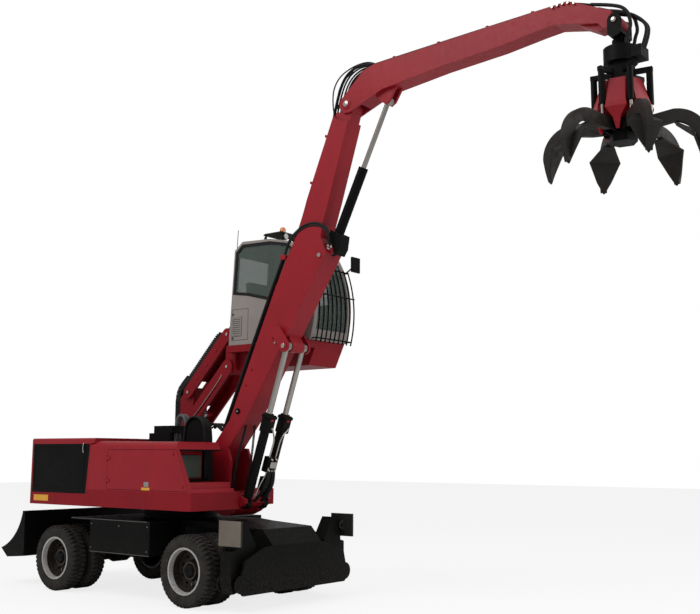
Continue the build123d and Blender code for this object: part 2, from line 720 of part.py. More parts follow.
# Stick: box with a fork at its foot, a nose boss, and cheeks for its cylinder's rod
stick_outline = [
    (3440, 7600), (3420, 7480), (3500, 7380), (3602, 7374), (4213, 7602), (5239, 7707), (6170, 7763),
    (6781, 7834), (7033, 7855), (7184, 7821), (7767, 7680), (7821, 7837), (7219, 8135), (6810, 8118), (4054, 8027),
    (3864, 7975),
]
with BuildPart() as stick:
    add(plate(stick_outline, stick_half, -stick_half))
    add(cross_bar(stick_pivot, 130, stick_half, -stick_half))
    add(plate([(3300, 7200), (3300, 7700), (3700, 7720), (3820, 7580), (3820, 7200)], head_half + side_gap,
              -head_half - side_gap), mode=Mode.SUBTRACT)
    add(cross_bar(stick_pivot, 172, head_half + side_gap, -head_half - side_gap), mode=Mode.SUBTRACT)
    add(cross_bar(stick_pivot, stick_pin_radius, stick_half, -stick_half))
    add(cross_bar(tip_pin, 75, stick_half, -stick_half))
    add(plate([(7700, 7850), (7640, 7700), (7700, 7630), (7860, 7616), (7900, 7752)], stick_half, -stick_half))
    add(plate([(7335, 7795), (7617, 7626), (7720, 7640), (7720, 7720)], 100, -100))
    add(cross_bar(tip_pin, tip_pin_radius, 190, -190))
    for sign in (-1, 1):
        cheek = sign * (stick_eye_half + side_gap + 20)
        add(plate([(4040, 7570), (4157, 7440), (4237, 7387), (4317, 7430), (4450, 7640)],
                  cheek + 20, cheek - 20))
stick.part.label = "stick"

stick_sizes = (stick_barrel_radius, stick_barrel_length, stick_eye_radius, stick_eye_half, 35, stick_rod_radius)
with BuildPart() as stick_barrel:
    add(barrel(stick_foot, stick_eye, 0, stick_sizes))
    add(plate([(3154, 5454), (3226, 5602), (3430, 5500), (3400, 5300), (3330, 5200), (3287, 5232),
               (3292, 5340)], 105, -105))
    add(bar(stick_foot, stick_eye, 0, stick_rod_radius + seat_gap, stick_eye_radius + 60, stick_barrel_length),
        mode=Mode.SUBTRACT)
stick_barrel.part.label = "stick_barrel"

with BuildPart() as stick_rod:
    add(rod(stick_foot, stick_eye, 0,
            (stick_rod_radius, stick_rod_length, stick_eye_radius, stick_eye_half, 30)))
stick_rod.part.label = "stick_rod"

# Link that hangs from the stick's nose and carries the rotator on a lengthwise pin
with BuildPart() as link:
    for sign in (-1, 1):
        left = max(sign * 155, sign * 185)
        right = min(sign * 155, sign * 185)
        add(link_plate(tip_pin, (grab_x, 7560), 90, left, right))
    add(block((grab_x - 90, grab_x + 90), (-185, 185), (7510, 7560)))
    add(cross_bar(tip_pin, tip_pin_radius + seat_gap, 186, -186), mode=Mode.SUBTRACT)
    with BuildSketch(across(grab_x - 50)):
        with Locations((0, swing_pin_z)):
            Circle(70)
        with Locations((0, swing_pin_z + 45)):
            Rectangle(140, 90)
        with Locations((0, swing_pin_z)):
            Circle(swing_pin_radius + seat_gap, mode=Mode.SUBTRACT)
    extrude(amount=100)
link.part.label = "link"


def ring_plane(angle, z=0):
    """Level plane whose origin is on the grab's axis and whose x points outwards at an angle."""
    return Plane(origin=(slew_x + grab_x, 0, z), x_dir=(math.cos(math.radians(angle)),
                                                         math.sin(math.radians(angle)), 0), z_dir=(0, 0, 1))


def radial_plane(angle):
    """Upright plane through the grab's axis, drawn with the radius outwards and z up."""
    turn = math.radians(angle)
    return Plane(origin=(slew_x + grab_x, 0, 0), x_dir=(math.cos(turn), math.sin(turn), 0),
                 z_dir=(math.sin(turn), -math.cos(turn), 0))


# Rotator: fork on the lengthwise pin, round housing and the motor block at its side
with BuildPart() as rotator:
    for x in (grab_x - 50 - side_gap - 30, grab_x + 50 + side_gap):
        with BuildSketch(across(x)):
            with Locations((0, swing_pin_z)):
                Circle(60)
            with Locations((0, swing_pin_z - 50)):
                Rectangle(120, 100)
        extrude(amount=30)
    with BuildSketch(across(grab_x - 85)):
        with Locations((0, swing_pin_z)):
            Circle(swing_pin_radius)
    extrude(amount=170)
    with BuildSketch(level(7150)):
        with Locations((grab_x, 0)):
            Circle(215)
    extrude(amount=205)
    add(block((grab_x + 120, grab_x + 315), (-120, 140), (7170, 7320)))
rotator.part.label = "rotator"

# Grab hub: six-sided column, barrel arms, barrels and tine brackets
with BuildPart() as grab_hub:
    with BuildSketch(level(6110)):
        with Locations((grab_x, 0)):
            RegularPolygon(hub_flat, tine_count, major_radius=False, rotation=tine_first_angle)
    extrude(amount=1000)
    with BuildSketch(level(7110)):
        with Locations((grab_x, 0)):
            Circle(150)
    extrude(amount=40 - seat_gap)
    for number in range(tine_count):
        angle = tine_first_angle + number * 360 / tine_count
        with BuildSketch(ring_plane(angle, 6990)):
            with Locations((rod_r / 2 + 20, 0)):
                Rectangle(rod_r + 40, 60)
        extrude(amount=60)
        with BuildSketch(ring_plane(angle, 6560)):
            with Locations((rod_r, 0)):
                Circle(grab_barrel_radius)
        extrude(amount=431)
        with BuildSketch(ring_plane(angle, 6559)):
            with Locations((rod_r, 0)):
                Circle(grab_rod_radius + seat_gap)
        extrude(amount=400, mode=Mode.SUBTRACT)
        for shift in (tine_half + side_gap, -tine_half - side_gap - 25):
            with BuildSketch(radial_plane(angle).offset(shift)):
                with BuildLine():
                    Polyline((100, 6210), (250, 6230), (285, 6290), (270, 6350), (100, 6365), close=True)
                make_face()
            extrude(amount=25)
        with BuildSketch(radial_plane(angle).offset(-tine_half - side_gap - 25)):
            with Locations((tine_pivot_r, tine_pivot_z)):
                Circle(tine_pin_radius)
        extrude(amount=2 * (tine_half + side_gap + 25))
grab_hub.part.label = "grab_hub"

# Six covers between the barrels, each with a long upper face and a pointed lower one
cover_inner = hub_flat + seat_gap
cover_rows = [
    # height, half width, outer radius
    (6372, 50, 322),
    (6500, 135, 358),
    (6560, 124, 350),
    (6900, 98, 240),
]
with BuildPart() as grab_covers:
    for number in range(tine_count):
        angle = tine_first_angle + (number + 0.5) * 360 / tine_count
        for z, half_width, outer in cover_rows:
            with BuildSketch(ring_plane(angle, z)):
                with Locations(((cover_inner + outer) / 2, 0)):
                    Rectangle(outer - cover_inner, 2 * half_width)
        loft(ruled=True)
        for z, half_width, inner, outer in ((6230, 20, 264, 292), (6372, 50, 264, 322)):
            with BuildSketch(ring_plane(angle, z)):
                with Locations(((inner + outer) / 2, 0)):
                    Rectangle(outer - inner, 2 * half_width)
        loft(ruled=True)
grab_covers.part.label = "grab_covers"

# Six rods that come out of the hub's barrels together
with BuildPart() as grab_rods:
    for number in range(tine_count):
        angle = tine_first_angle + number * 360 / tine_count
        with BuildSketch(ring_plane(angle, lever_z)):
            with Locations((rod_r, 0)):
                Circle(grab_rod_radius)
        extrude(amount=400)
        with BuildSketch(radial_plane(angle).offset(-20)):
            with Locations((rod_r, lever_z)):
                Circle(34)
        extrude(amount=40)
grab_rods.part.label = "grab_rods"


def tine(number):
    """One tine: a curved rib with its lever cheeks, and the pointed shell on its inner side."""
    angle = tine_first_angle + number * 360 / tine_count
    shell_rows = [
        # radius, height, slope of the shell there, half width
        (640, 6270, -20, 70),
        (860, 6110, -60, 210),
        (930, 5850, -80, 95),
        (950, 5700, -85, 6),
    ]
    with BuildPart() as piece:
        with BuildSketch(radial_plane(angle).offset(-40)):
            with BuildLine():
                Polyline((190, 6270), (190, 6330), (300, 6415), (400, 6420), (620, 6450))
                ThreePointArc((620, 6450), (905, 6335), (1037, 6005))
                Polyline((1037, 6005), (1010, 5855), (975, 5720), (945, 5725), (925, 5855), (885, 6080))
                ThreePointArc((885, 6080), (790, 6222), (645, 6295))
                Polyline((645, 6295), (400, 6255), (270, 6250), (190, 6270))
            make_face()
        extrude(amount=80)
        with BuildSketch(radial_plane(angle).offset(-tine_half)):
            with BuildLine():
                Polyline((190, 6270), (190, 6330), (300, 6410), (380, 6410), (430, 6340), (300, 6270),
                         close=True)
            make_face()
        extrude(amount=2 * tine_half)
        with BuildSketch(radial_plane(angle).offset(-25)):
            with BuildLine():
                Polyline((150, lever_z - 50), (lever_r + 55, lever_z - 50), (lever_r + 55, 6540), (150, 6540),
                         close=True)
            make_face()
        extrude(amount=50, mode=Mode.SUBTRACT)
        with BuildSketch(radial_plane(angle).offset(-tine_half - 1)):
            with Locations((tine_pivot_r, tine_pivot_z)):
                Circle(tine_pin_radius + seat_gap)
        extrude(amount=2 * tine_half + 2, mode=Mode.SUBTRACT)
        for radius, height, slope, half_width in shell_rows:
            place = radial_plane(angle)
            origin = place.from_local_coords((radius, height, 0))
            run = place.x_dir * math.cos(math.radians(slope)) + Vector(0, 0, 1) * math.sin(math.radians(slope))
            with BuildSketch(Plane(origin=origin, x_dir=place.z_dir, z_dir=run)):
                Rectangle(2 * half_width, 22)
        loft(ruled=True)
    piece.part.label = f"tine_{number + 1}"
    return piece.part


def riser_arm(foot, head, half_depth, cover_start, cover_stop):
    """Riser arm: two side plates with eyes, joined by a cover plate along their upper edge."""
    dx = head[0] - foot[0]
    dz = head[1] - foot[1]
    length = math.hypot(dx, dz)
    with BuildPart() as piece:
        for sign in (-1, 1):
            inner = riser_y + sign * arm_inner_half
            outer = riser_y + sign * (arm_inner_half + riser_plate)
            add(link_plate(foot, head, half_depth, max(inner, outer), min(inner, outer)))
        along = Plane(origin=(slew_x + foot[0], riser_y, foot[1]), x_dir=(dx, 0, dz), z_dir=(0, -1, 0))
        with BuildSketch(along.offset(-arm_inner_half - 1)):
            with Locations(((cover_start + cover_stop) / 2, half_depth - 15)):
                Rectangle(cover_stop - cover_start, 30)
        extrude(amount=2 * arm_inner_half + 2)
        for place in (foot, head):
            add(cross_bar(place, riser_pin_radius + seat_gap, riser_y + 230, riser_y - 230),
                mode=Mode.SUBTRACT)
    return piece.part


with BuildPart() as riser_upper_arm:
    add(riser_arm(upper_arm_foot, upper_arm_head, 105, 200, 1140))
riser_upper_arm.part.label = "riser_upper_arm"

with BuildPart() as riser_lower_arm:
    add(riser_arm(lower_arm_foot, lower_arm_head, 120, 360, 1090))
    for sign in (-1, 1):
        inner = riser_y + sign * (30 + side_gap)
        outer = riser_y + sign * (arm_inner_half + 1)
        add(cross_bar(riser_eye, 40, max(inner, outer), min(inner, outer)))
riser_lower_arm.part.label = "riser_lower_arm"

with BuildPart() as riser_barrel:
    add(barrel(riser_foot, riser_eye, riser_y, (55, 700, 45, 48, 25, 28)))
riser_barrel.part.label = "riser_barrel"

with BuildPart() as riser_rod:
    add(rod(riser_foot, riser_eye, riser_y, (28, 520, 42, 30, 20)))
riser_rod.part.label = "riser_rod"

# Drag chain along the back of the upper arm, in short links
with BuildPart() as drag_chain:
    dx = upper_arm_head[0] - upper_arm_foot[0]
    dz = upper_arm_head[1] - upper_arm_foot[1]
    chain_plane = Plane(origin=(slew_x + upper_arm_foot[0], riser_y, upper_arm_foot[1]),
                        x_dir=(dx, 0, dz), z_dir=(0, -1, 0))
    with BuildSketch(chain_plane.offset(55)):
        with Locations((625, 105 + seat_gap + 50)):
            Rectangle(950, 100)
    extrude(amount=110)
drag_chain.part.label = "drag_chain"

# Cab base: carrier plate with the arm pins, red floor frame and its sloped nose
with BuildPart() as cab_base:
    add(plate([(430, 3600), (560, 3560), (600, 3860), (590, 4330), (520, 4400), (430, 4300)],
              riser_y + post_half, riser_y - post_half))
    for head in (upper_arm_head, lower_arm_head):
        add(cross_bar(head, riser_pin_radius, riser_y + 225, riser_y - 225))
    add(plate([(590, 3918), (2330, 3918), (2385, cab_floor_z - seat_gap), (590, cab_floor_z - seat_gap)],
              cab_left_y, cab_right_y))
    add(plate([(660, 3640), (2200, 3645), (2330, 3919), (660, 3919)], cab_left_y, 630))
    add(plate([(559, 3600), (661, 3600), (661, 3919), (559, 3919)], riser_y + post_half, riser_y - post_half))
cab_base.part.label = "cab_base"


def cab_outline(inset=0):
    """Side outline of the cab, drawn in by an inset on all sides."""
    with BuildSketch() as face:
        with BuildLine():
            Polyline((2431, cab_floor_z), (640, cab_floor_z), (740, 5657), (917, 5795), (1546, 5766), (1906, 5694),
                     (2259, 5462))
            ThreePointArc((2259, 5462), (2513, 4723), (2431, cab_floor_z))
        make_face()
        if inset:
            offset(amount=-inset)
    return face.sketch


def side_window(inset=0):
    """Outline of the window in the cab's right side, drawn in by an inset."""
    with BuildSketch() as face:
        with BuildLine():
            Polyline((745, 4905), (1084, 4862), (1524, 4762), (2430, 4550), (2450, 4750), (2205, 5420),
                     (1890, 5632), (1540, 5700), (935, 5728), (792, 5610), close=True)
        make_face()
        if inset:
            offset(amount=-inset)
    return face.sketch


# Cab shell: hollow, with its windows and the doorway cut
with BuildPart() as cab_shell:
    with BuildSketch(side(cab_left_y)):
        add(cab_outline())
    extrude(amount=cab_left_y - cab_right_y)
    with BuildSketch(side(cab_left_y - cab_wall)):
        add(cab_outline(cab_wall))
    extrude(amount=cab_left_y - cab_right_y - 2 * cab_wall, mode=Mode.SUBTRACT)
    with BuildSketch(side(cab_right_y + cab_wall + 1)):
        add(side_window())
    extrude(amount=cab_wall + 2, mode=Mode.SUBTRACT)
    add(block((door_rear_x, door_front_x), (cab_left_y - cab_wall - 1, cab_left_y + 1),
              (door_bottom_z, door_top_z)), mode=Mode.SUBTRACT)
    add(block((2200, 2600), (cab_right_y + 90, cab_left_y - 90), (4200, 5350)), mode=Mode.SUBTRACT)
    add(block((500, 800), (cab_right_y + 100, cab_left_y - 100), (4800, 5560)), mode=Mode.SUBTRACT)
    for z in door_hinge_heights:
        with BuildSketch(level(z - 60)):
            with Locations((door_rear_x + door_gap, door_hinge_y)):
                Circle(8)
        extrude(amount=120)
        for z_range in ((z - 60, z - 45), (z + 45, z + 60)):
            add(block((door_rear_x - 50, door_rear_x + 20), (cab_left_y + 0.5, door_hinge_y + 12), z_range))
            add(block((door_rear_x - 50, door_rear_x - 2), (cab_left_y - 1, cab_left_y + 1), z_range))
cab_shell.part.label = "cab_shell"

# Cab door on the left, with its window, hinged at the rear edge
with BuildPart() as cab_door:
    add(block((door_rear_x + door_gap, door_front_x - door_gap), (cab_left_y - cab_wall + 5, cab_left_y),
              (door_bottom_z + door_gap, door_top_z - door_gap)))
    add(block((door_rear_x + 90, door_front_x - 90), (cab_left_y - cab_wall, cab_left_y + 1),
              (4700, door_top_z - 90)), mode=Mode.SUBTRACT)
    for z in door_hinge_heights:
        for z_range in ((z - 64, z - 41), (z + 41, z + 64)):
            add(block((door_rear_x + 7, door_rear_x + 32), (cab_left_y - 10, cab_left_y + 1), z_range),
                mode=Mode.SUBTRACT)
        with BuildSketch(level(z - 40)):
            with Locations((door_rear_x + door_gap, door_hinge_y)):
                Circle(11.5)
            with Locations((door_rear_x + door_gap + 45, door_hinge_y)):
                Rectangle(90, 23)
            with Locations((door_rear_x + door_gap, door_hinge_y)):
                Circle(8 + seat_gap, mode=Mode.SUBTRACT)
        extrude(amount=80)
        add(block((door_rear_x + door_gap + 20, door_rear_x + door_gap + 90), (cab_left_y - 1, door_hinge_y),
                  (z - 40, z + 40)))
cab_door.part.label = "cab_door"


def window_pane(x_range, y_range, z_range):
    """Pane that follows the cab's outline inside a window opening."""
    with BuildPart() as pane:
        with BuildSketch(side(y_range[1])):
            add(cab_outline(15))
            add(cab_outline(23), mode=Mode.SUBTRACT)
        extrude(amount=y_range[1] - y_range[0])
        add(block(x_range, y_range, z_range), mode=Mode.INTERSECT)
    return pane.part


# Glass panes of the cab and of the door
with BuildPart() as cab_glass:
    with BuildSketch(side(cab_right_y + 20)):
        add(side_window(seat_gap))
    extrude(amount=8)
    windows = [
        # x range, y range, z range
        ((2200, 2600), (cab_right_y + 90 + seat_gap, cab_left_y - 90 - seat_gap),
         (4200 + seat_gap, 5350 - seat_gap)),
        ((500, 800), (cab_right_y + 100 + seat_gap, cab_left_y - 100 - seat_gap),
         (4800 + seat_gap, 5560 - seat_gap)),
    ]
    for x_range, y_range, z_range in windows:
        add(window_pane(x_range, y_range, z_range))
cab_glass.part.label = "cab_glass"

with BuildPart() as door_glass:
    add(block((door_rear_x + 90 + seat_gap, door_front_x - 90 - seat_gap),
              (cab_left_y - 25, cab_left_y - 17), (4700 + seat_gap, door_top_z - 90 - seat_gap)))
door_glass.part.label = "door_glass"

# Seat and consoles
with BuildPart() as cab_interior:
    floor = cab_floor_z + cab_wall + seat_gap
    add(block((900, 1400), (600, 1110), (floor, floor + 380)))
    add(plate([(800, floor + 300), (950, floor + 300), (890, floor + 1050), (785, floor + 1050)], 1080, 630))
cab_interior.part.label = "cab_interior"

# Front guard: upright bars that follow the bulge of the front, held by cross bars, and the mirror
with BuildPart() as cab_guard:
    for number in range(9):
        y = 405 + number * 112
        with BuildSketch(side(y + 7)):
            with BuildLine():
                ThreePointArc((2466, 5250), (2612, 4600), (2543, 3990))
                Line((2543, 3990), (2523, 3990))
                ThreePointArc((2523, 3990), (2592, 4600), (2446, 5250))
                Line((2446, 5250), (2466, 5250))
            make_face()
        extrude(amount=14)
    for place in ((2474, 5210), (2598, 4760), (2542, 4050)):
        add(cross_bar(place, 12, 1315, 385))
    for y in (cab_right_y + 30, cab_left_y - 50):
        for z in (5200, 4040):
            add(block((2200, 2530 if z < 5000 else 2474), (y, y + 20), (z, z + 20)))
    with BuildSketch(side(cab_left_y)):
        add(cab_outline(-seat_gap))
    extrude(amount=cab_left_y - cab_right_y, mode=Mode.SUBTRACT)
    add(bar((2474, 5210), (2668, 5325), 1250, 12))
    add(block((2655, 2690), (1140, 1350), (5200, 5450)))
cab_guard.part.label = "cab_guard"

# Lamp box on the roof with the beacon on top
with BuildPart() as roof_lamps:
    add(block((1272, 1762), (480, 960), (5700, 5920)))
    with BuildSketch(level(5919)):
        with Locations((1541, 700)):
            Circle(58)
    extrude(amount=105)
    with BuildSketch(side(cab_left_y)):
        add(cab_outline(-seat_gap))
    extrude(amount=cab_left_y - cab_right_y, mode=Mode.SUBTRACT)
roof_lamps.part.label = "roof_lamps"

# Hoses along the boom and the stick
with BuildPart() as boom_hoses:
    for y in (-60, 60):
        add(bar((1719.4, 3809.6), (2114.4, 4673.6), y, 18))
boom_hoses.part.label = "boom_hoses"

with BuildPart() as stick_hoses:
    for y in (-70, 0, 70):
        add(bar((4054, 8045.3), (6810, 8136.3), y, 18))
stick_hoses.part.label = "stick_hoses"

corners = [
    # name, axle x, side
    ("front_left", half_wheelbase, 1),
    ("front_right", half_wheelbase, -1),
    ("rear_left", -half_wheelbase, 1),
    ("rear_right", -half_wheelbase, -1),
]
pieces = [
    chassis.part, stabiliser_plates.part, axles.part, slew_ring.part, blade.part, blade_barrels.part, blade_rods.part,
    platform.part, engine_hood.part, grille_panel.part, side_hood.part, hood_door.part, engine.part,
    valve_block.part, boom.part, boom_hoses.part, lift_barrels.part, lift_rods.part, stick.part,
    stick_hoses.part, stick_barrel.part, stick_rod.part, link.part, rotator.part, grab_hub.part,
    grab_covers.part, grab_rods.part, riser_upper_arm.part, riser_lower_arm.part, riser_barrel.part,
    riser_rod.part, drag_chain.part, cab_base.part, cab_shell.part, cab_door.part, cab_glass.part,
    door_glass.part, cab_interior.part, cab_guard.part, roof_lamps.part,
]
for side_name, sign in (("left", 1), ("right", -1)):
    for prefix, maker in (("knuckle", knuckle), ("stabiliser_arm", stabiliser_arm),
                          ("stabiliser_pad", stabiliser_pad)):
        piece = maker(sign)
        piece.label = f"{prefix}_{side_name}"
        pieces.append(piece)
for corner, axle_x, sign in corners:
    with BuildPart() as tyres:
        for outer_y in (outer_face, outer_face - tyre_width - twin_gap):
            add(tyre(axle_x, outer_y, sign))
    tyres.part.label = f"tyres_{corner}"
    wheel_rim = rim(axle_x, sign)
    wheel_rim.label = f"rim_{corner}"
    pieces += [tyres.part, wheel_rim]
for number in range(tine_count):
    pieces.append(tine(number))

os.makedirs("parts", exist_ok=True)
for piece in pieces:
    export_step(piece, f"parts/{piece.label}.step")
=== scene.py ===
"""Dressed model of a wheeled material handler with a raised cab and an orange-peel grab.

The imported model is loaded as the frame, and each sub-assembly's class builds its own trim on it.
Places along the machine are in millimetres from the slewing axis, and at() turns them into metres.
"""

import logging
import math
from collections.abc import Sequence
from dataclasses import dataclass, field
from enum import Enum

import bpy
from mathutils import Matrix, Vector

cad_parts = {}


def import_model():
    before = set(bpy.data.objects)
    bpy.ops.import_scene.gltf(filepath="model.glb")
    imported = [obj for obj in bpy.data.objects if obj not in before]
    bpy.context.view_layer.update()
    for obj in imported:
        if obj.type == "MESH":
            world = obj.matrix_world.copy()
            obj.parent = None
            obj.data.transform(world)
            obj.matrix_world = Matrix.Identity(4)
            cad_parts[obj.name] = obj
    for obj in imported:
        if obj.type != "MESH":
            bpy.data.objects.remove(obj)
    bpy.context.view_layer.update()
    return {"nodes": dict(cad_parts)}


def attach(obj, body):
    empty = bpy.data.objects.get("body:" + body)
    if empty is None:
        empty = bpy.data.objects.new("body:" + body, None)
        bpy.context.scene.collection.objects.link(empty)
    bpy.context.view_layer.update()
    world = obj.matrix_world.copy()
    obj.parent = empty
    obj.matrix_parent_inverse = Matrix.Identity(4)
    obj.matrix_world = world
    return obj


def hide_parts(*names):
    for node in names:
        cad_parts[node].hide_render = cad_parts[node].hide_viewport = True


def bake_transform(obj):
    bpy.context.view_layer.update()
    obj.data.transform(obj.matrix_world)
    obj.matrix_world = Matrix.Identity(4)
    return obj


LOG = logging.getLogger("handler")
SLEW_X = -2.90065
RIGHT_THEN_LEFT = (-1, 1)
FORWARD = (1, 0, 0)
SIDEWAYS = (0, 1, 0)
RIGHTWARD = (0, -1, 0)
UPWARD = (0, 0, 1)
HEXAGON = 6

Point = tuple[float, float, float]
Flat = tuple[float, float]
Piece = bpy.types.Object
Socket = bpy.types.NodeSocket


def at(x: float, y: float, z: float) -> Point:
    """Gives a place in metres from one in millimetres counted from the slewing axis."""
    return (x / 1000 + SLEW_X, y / 1000, z / 1000)


def level(y: float, *spots: Flat) -> list[Point]:
    """Gives places that share one y from their x and z."""
    return [(x, y, z) for x, z in spots]


def oblong(start: float, end: float, low: float, high: float) -> list[Flat]:
    """Gives the corners of an upright rectangle in order round it."""
    return [(start, low), (end, low), (end, high), (start, high)]


class Side(Enum):
    """The left or right side of the machine, as the sign of Y."""

    LEFT = 1
    RIGHT = -1


class Sum(Enum):
    """The sums that a material's nodes do."""

    TIMES = "MULTIPLY"
    LARGER = "MAXIMUM"
    SIZE = "ABSOLUTE"


class NodeTable:
    """Short hand for building one material's nodes and links."""

    edge_samples: int = 4

    def __init__(self, name: str) -> None:
        """Makes an empty material.

        Args:
            name: The material's name.
        """
        self.material = bpy.data.materials.new(name)
        self.material.use_nodes = True
        self.nodes = self.material.node_tree.nodes
        self.links = self.material.node_tree.links
        self.nodes.clear()
        self.output = self.nodes.new("ShaderNodeOutputMaterial")
        self.shader = self.nodes.new("ShaderNodeBsdfPrincipled")
        self.links.new(self.shader.outputs[0], self.output.inputs[0])
        self.place = self.nodes.new("ShaderNodeTexCoord").outputs["Object"]

    def feed(self, name: str, value: Socket) -> None:
        """Links a socket to the shader's input of that name."""
        self.links.new(value, self.shader.inputs[name])

    def fix(self, **values: float) -> None:
        """Sets plain numbers on the shader.

        Args:
            values: Each input's value, with _ for the spaces in its name.
        """
        for name, value in values.items():
            self.shader.inputs[name.replace("_", " ")].default_value = value

    def noise(self, scale: float, detail: float = 4.0, rough: float = 0.55,
              stretch: Point = (1, 1, 1)) -> Socket:
        """Adds a noise on the piece's own place.

        Args:
            scale: How many cells lie in a metre.
            detail: Octaves.
            rough: Share of the finer octaves.
            stretch: Scale along each axis.

        Returns:
            The socket of the noise's value.
        """
        mapping = self.nodes.new("ShaderNodeMapping")
        mapping.inputs["Scale"].default_value = stretch
        self.links.new(self.place, mapping.inputs["Vector"])
        node = self.nodes.new("ShaderNodeTexNoise")
        node.inputs["Scale"].default_value = scale
        node.inputs["Detail"].default_value = detail
        node.inputs["Roughness"].default_value = rough
        self.links.new(mapping.outputs[0], node.inputs["Vector"])
        return node.outputs["Fac"]

    def waves(self, scale: float, distortion: float = 0.0) -> Socket:
        """Adds parallel waves on the piece's own place.

        Args:
            scale: How close the waves lie.
            distortion: How much they wander.

        Returns:
            The socket of the waves' value.
        """
        node = self.nodes.new("ShaderNodeTexWave")
        node.inputs["Scale"].default_value = scale
        node.inputs["Distortion"].default_value = distortion
        self.links.new(self.place, node.inputs["Vector"])
        return node.outputs["Fac"]

    def ramp(self, value: Socket, low: float, high: float, out_low: float = 0.0,
             out_high: float = 1.0) -> Socket:
        """Stretches a value between two limits.

        Args:
            value: The socket to stretch.
            low: The value that gives out_low.
            high: The value that gives out_high.
            out_low: Lowest result.
            out_high: Highest result.

        Returns:
            The socket of the stretched value.
        """
        node = self.nodes.new("ShaderNodeMapRange")
        node.inputs["From Min"].default_value = low
        node.inputs["From Max"].default_value = high
        node.inputs["To Min"].default_value = out_low
        node.inputs["To Max"].default_value = out_high
        self.links.new(value, node.inputs["Value"])
        return node.outputs[0]

    def math(self, kind: Sum, first: Socket | float, second: Socket | float) -> Socket:
        """Joins two values, either of which may be a plain number.

        Args:
            kind: The sum to do.
            first: A socket or a number.
            second: A socket or a number.

        Returns:
            The socket of the result.
        """
        node = self.nodes.new("ShaderNodeMath")
        node.operation = kind.value
        for number, value in enumerate((first, second)):
            if isinstance(value, (int, float)):
                node.inputs[number].default_value = value
            else:
                self.links.new(value, node.inputs[number])
        return node.outputs[0]

    def blend(self, share: Socket, first: Socket | Point, second: Socket | Point) -> Socket:
        """Mixes two colours.

        Args:
            share: Socket of the second colour's share.
            first: A colour or a socket.
            second: A colour or a socket.

        Returns:
            The socket of the mixed colour.
        """
        node = self.nodes.new("ShaderNodeMix")
        node.data_type = "RGBA"
        self.links.new(share, node.inputs["Factor"])
        for name, value in (("A", first), ("B", second)):
            socket = [s for s in node.inputs if s.name == name and s.type == "RGBA"][0]
            if isinstance(value, tuple):
                socket.default_value = (*value, 1.0)
            else:
                self.links.new(value, socket)
        return [s for s in node.outputs if s.type == "RGBA"][0]

    def bump(self, height: Socket, strength: float, distance: float, radius: float = 0.0) -> None:
        """Puts a bump on the shader, over softened edges where a radius is given.

        Args:
            height: Socket of the height.
            strength: Strength of the bump.
            distance: Height in metres.
            radius: Radius that the edges are softened to, in metres.
        """
        node = self.nodes.new("ShaderNodeBump")
        node.inputs["Strength"].default_value = strength
        node.inputs["Distance"].default_value = distance
        self.links.new(height, node.inputs["Height"])
        if radius:
            edge = self.nodes.new("ShaderNodeBevel")
            edge.samples = self.edge_samples
            edge.inputs["Radius"].default_value = radius
            self.links.new(edge.outputs[0], node.inputs["Normal"])
        self.feed("Normal", node.outputs[0])

    def axis_of(self, value: Socket, axis: str) -> Socket:
        """Gives one axis of a place or a direction.

        Args:
            value: Socket of the place or direction.
            axis: X, Y or Z.

        Returns:
            The socket of that axis's number.
        """
        split = self.nodes.new("ShaderNodeSeparateXYZ")
        self.links.new(value, split.inputs[0])
        return split.outputs[axis]

    def upward(self, steep: float = 0.35, flat: float = 0.95) -> Socket:
        """Tells how far a face looks up.

        Args:
            steep: The normal's Z that counts as nought.
            flat: The normal's Z that counts as one.

        Returns:
            The socket of a number from 0 to 1.
        """
        geometry = self.nodes.new("ShaderNodeNewGeometry")
        return self.ramp(self.axis_of(geometry.outputs["Normal"], "Z"), steep, flat)

    def inward(self, limit: float, fade: float = 0.002) -> Socket:
        """Tells what lies nearer to the middle plane than a limit.

        Args:
            limit: The distance from the middle plane in metres.
            fade: Width of the change in metres.

        Returns:
            The socket of 1 inside the limit and 0 beyond it.
        """
        across = self.math(Sum.SIZE, self.axis_of(self.place, "Y"), 0.0)
        return self.ramp(across, limit - fade, limit, 1.0, 0.0)

    def below(self, low: float, high: float) -> Socket:
        """Gives the socket of 1 below the low height, falling to 0 at the high one."""
        return self.ramp(self.axis_of(self.place, "Z"), low, high, 1.0, 0.0)


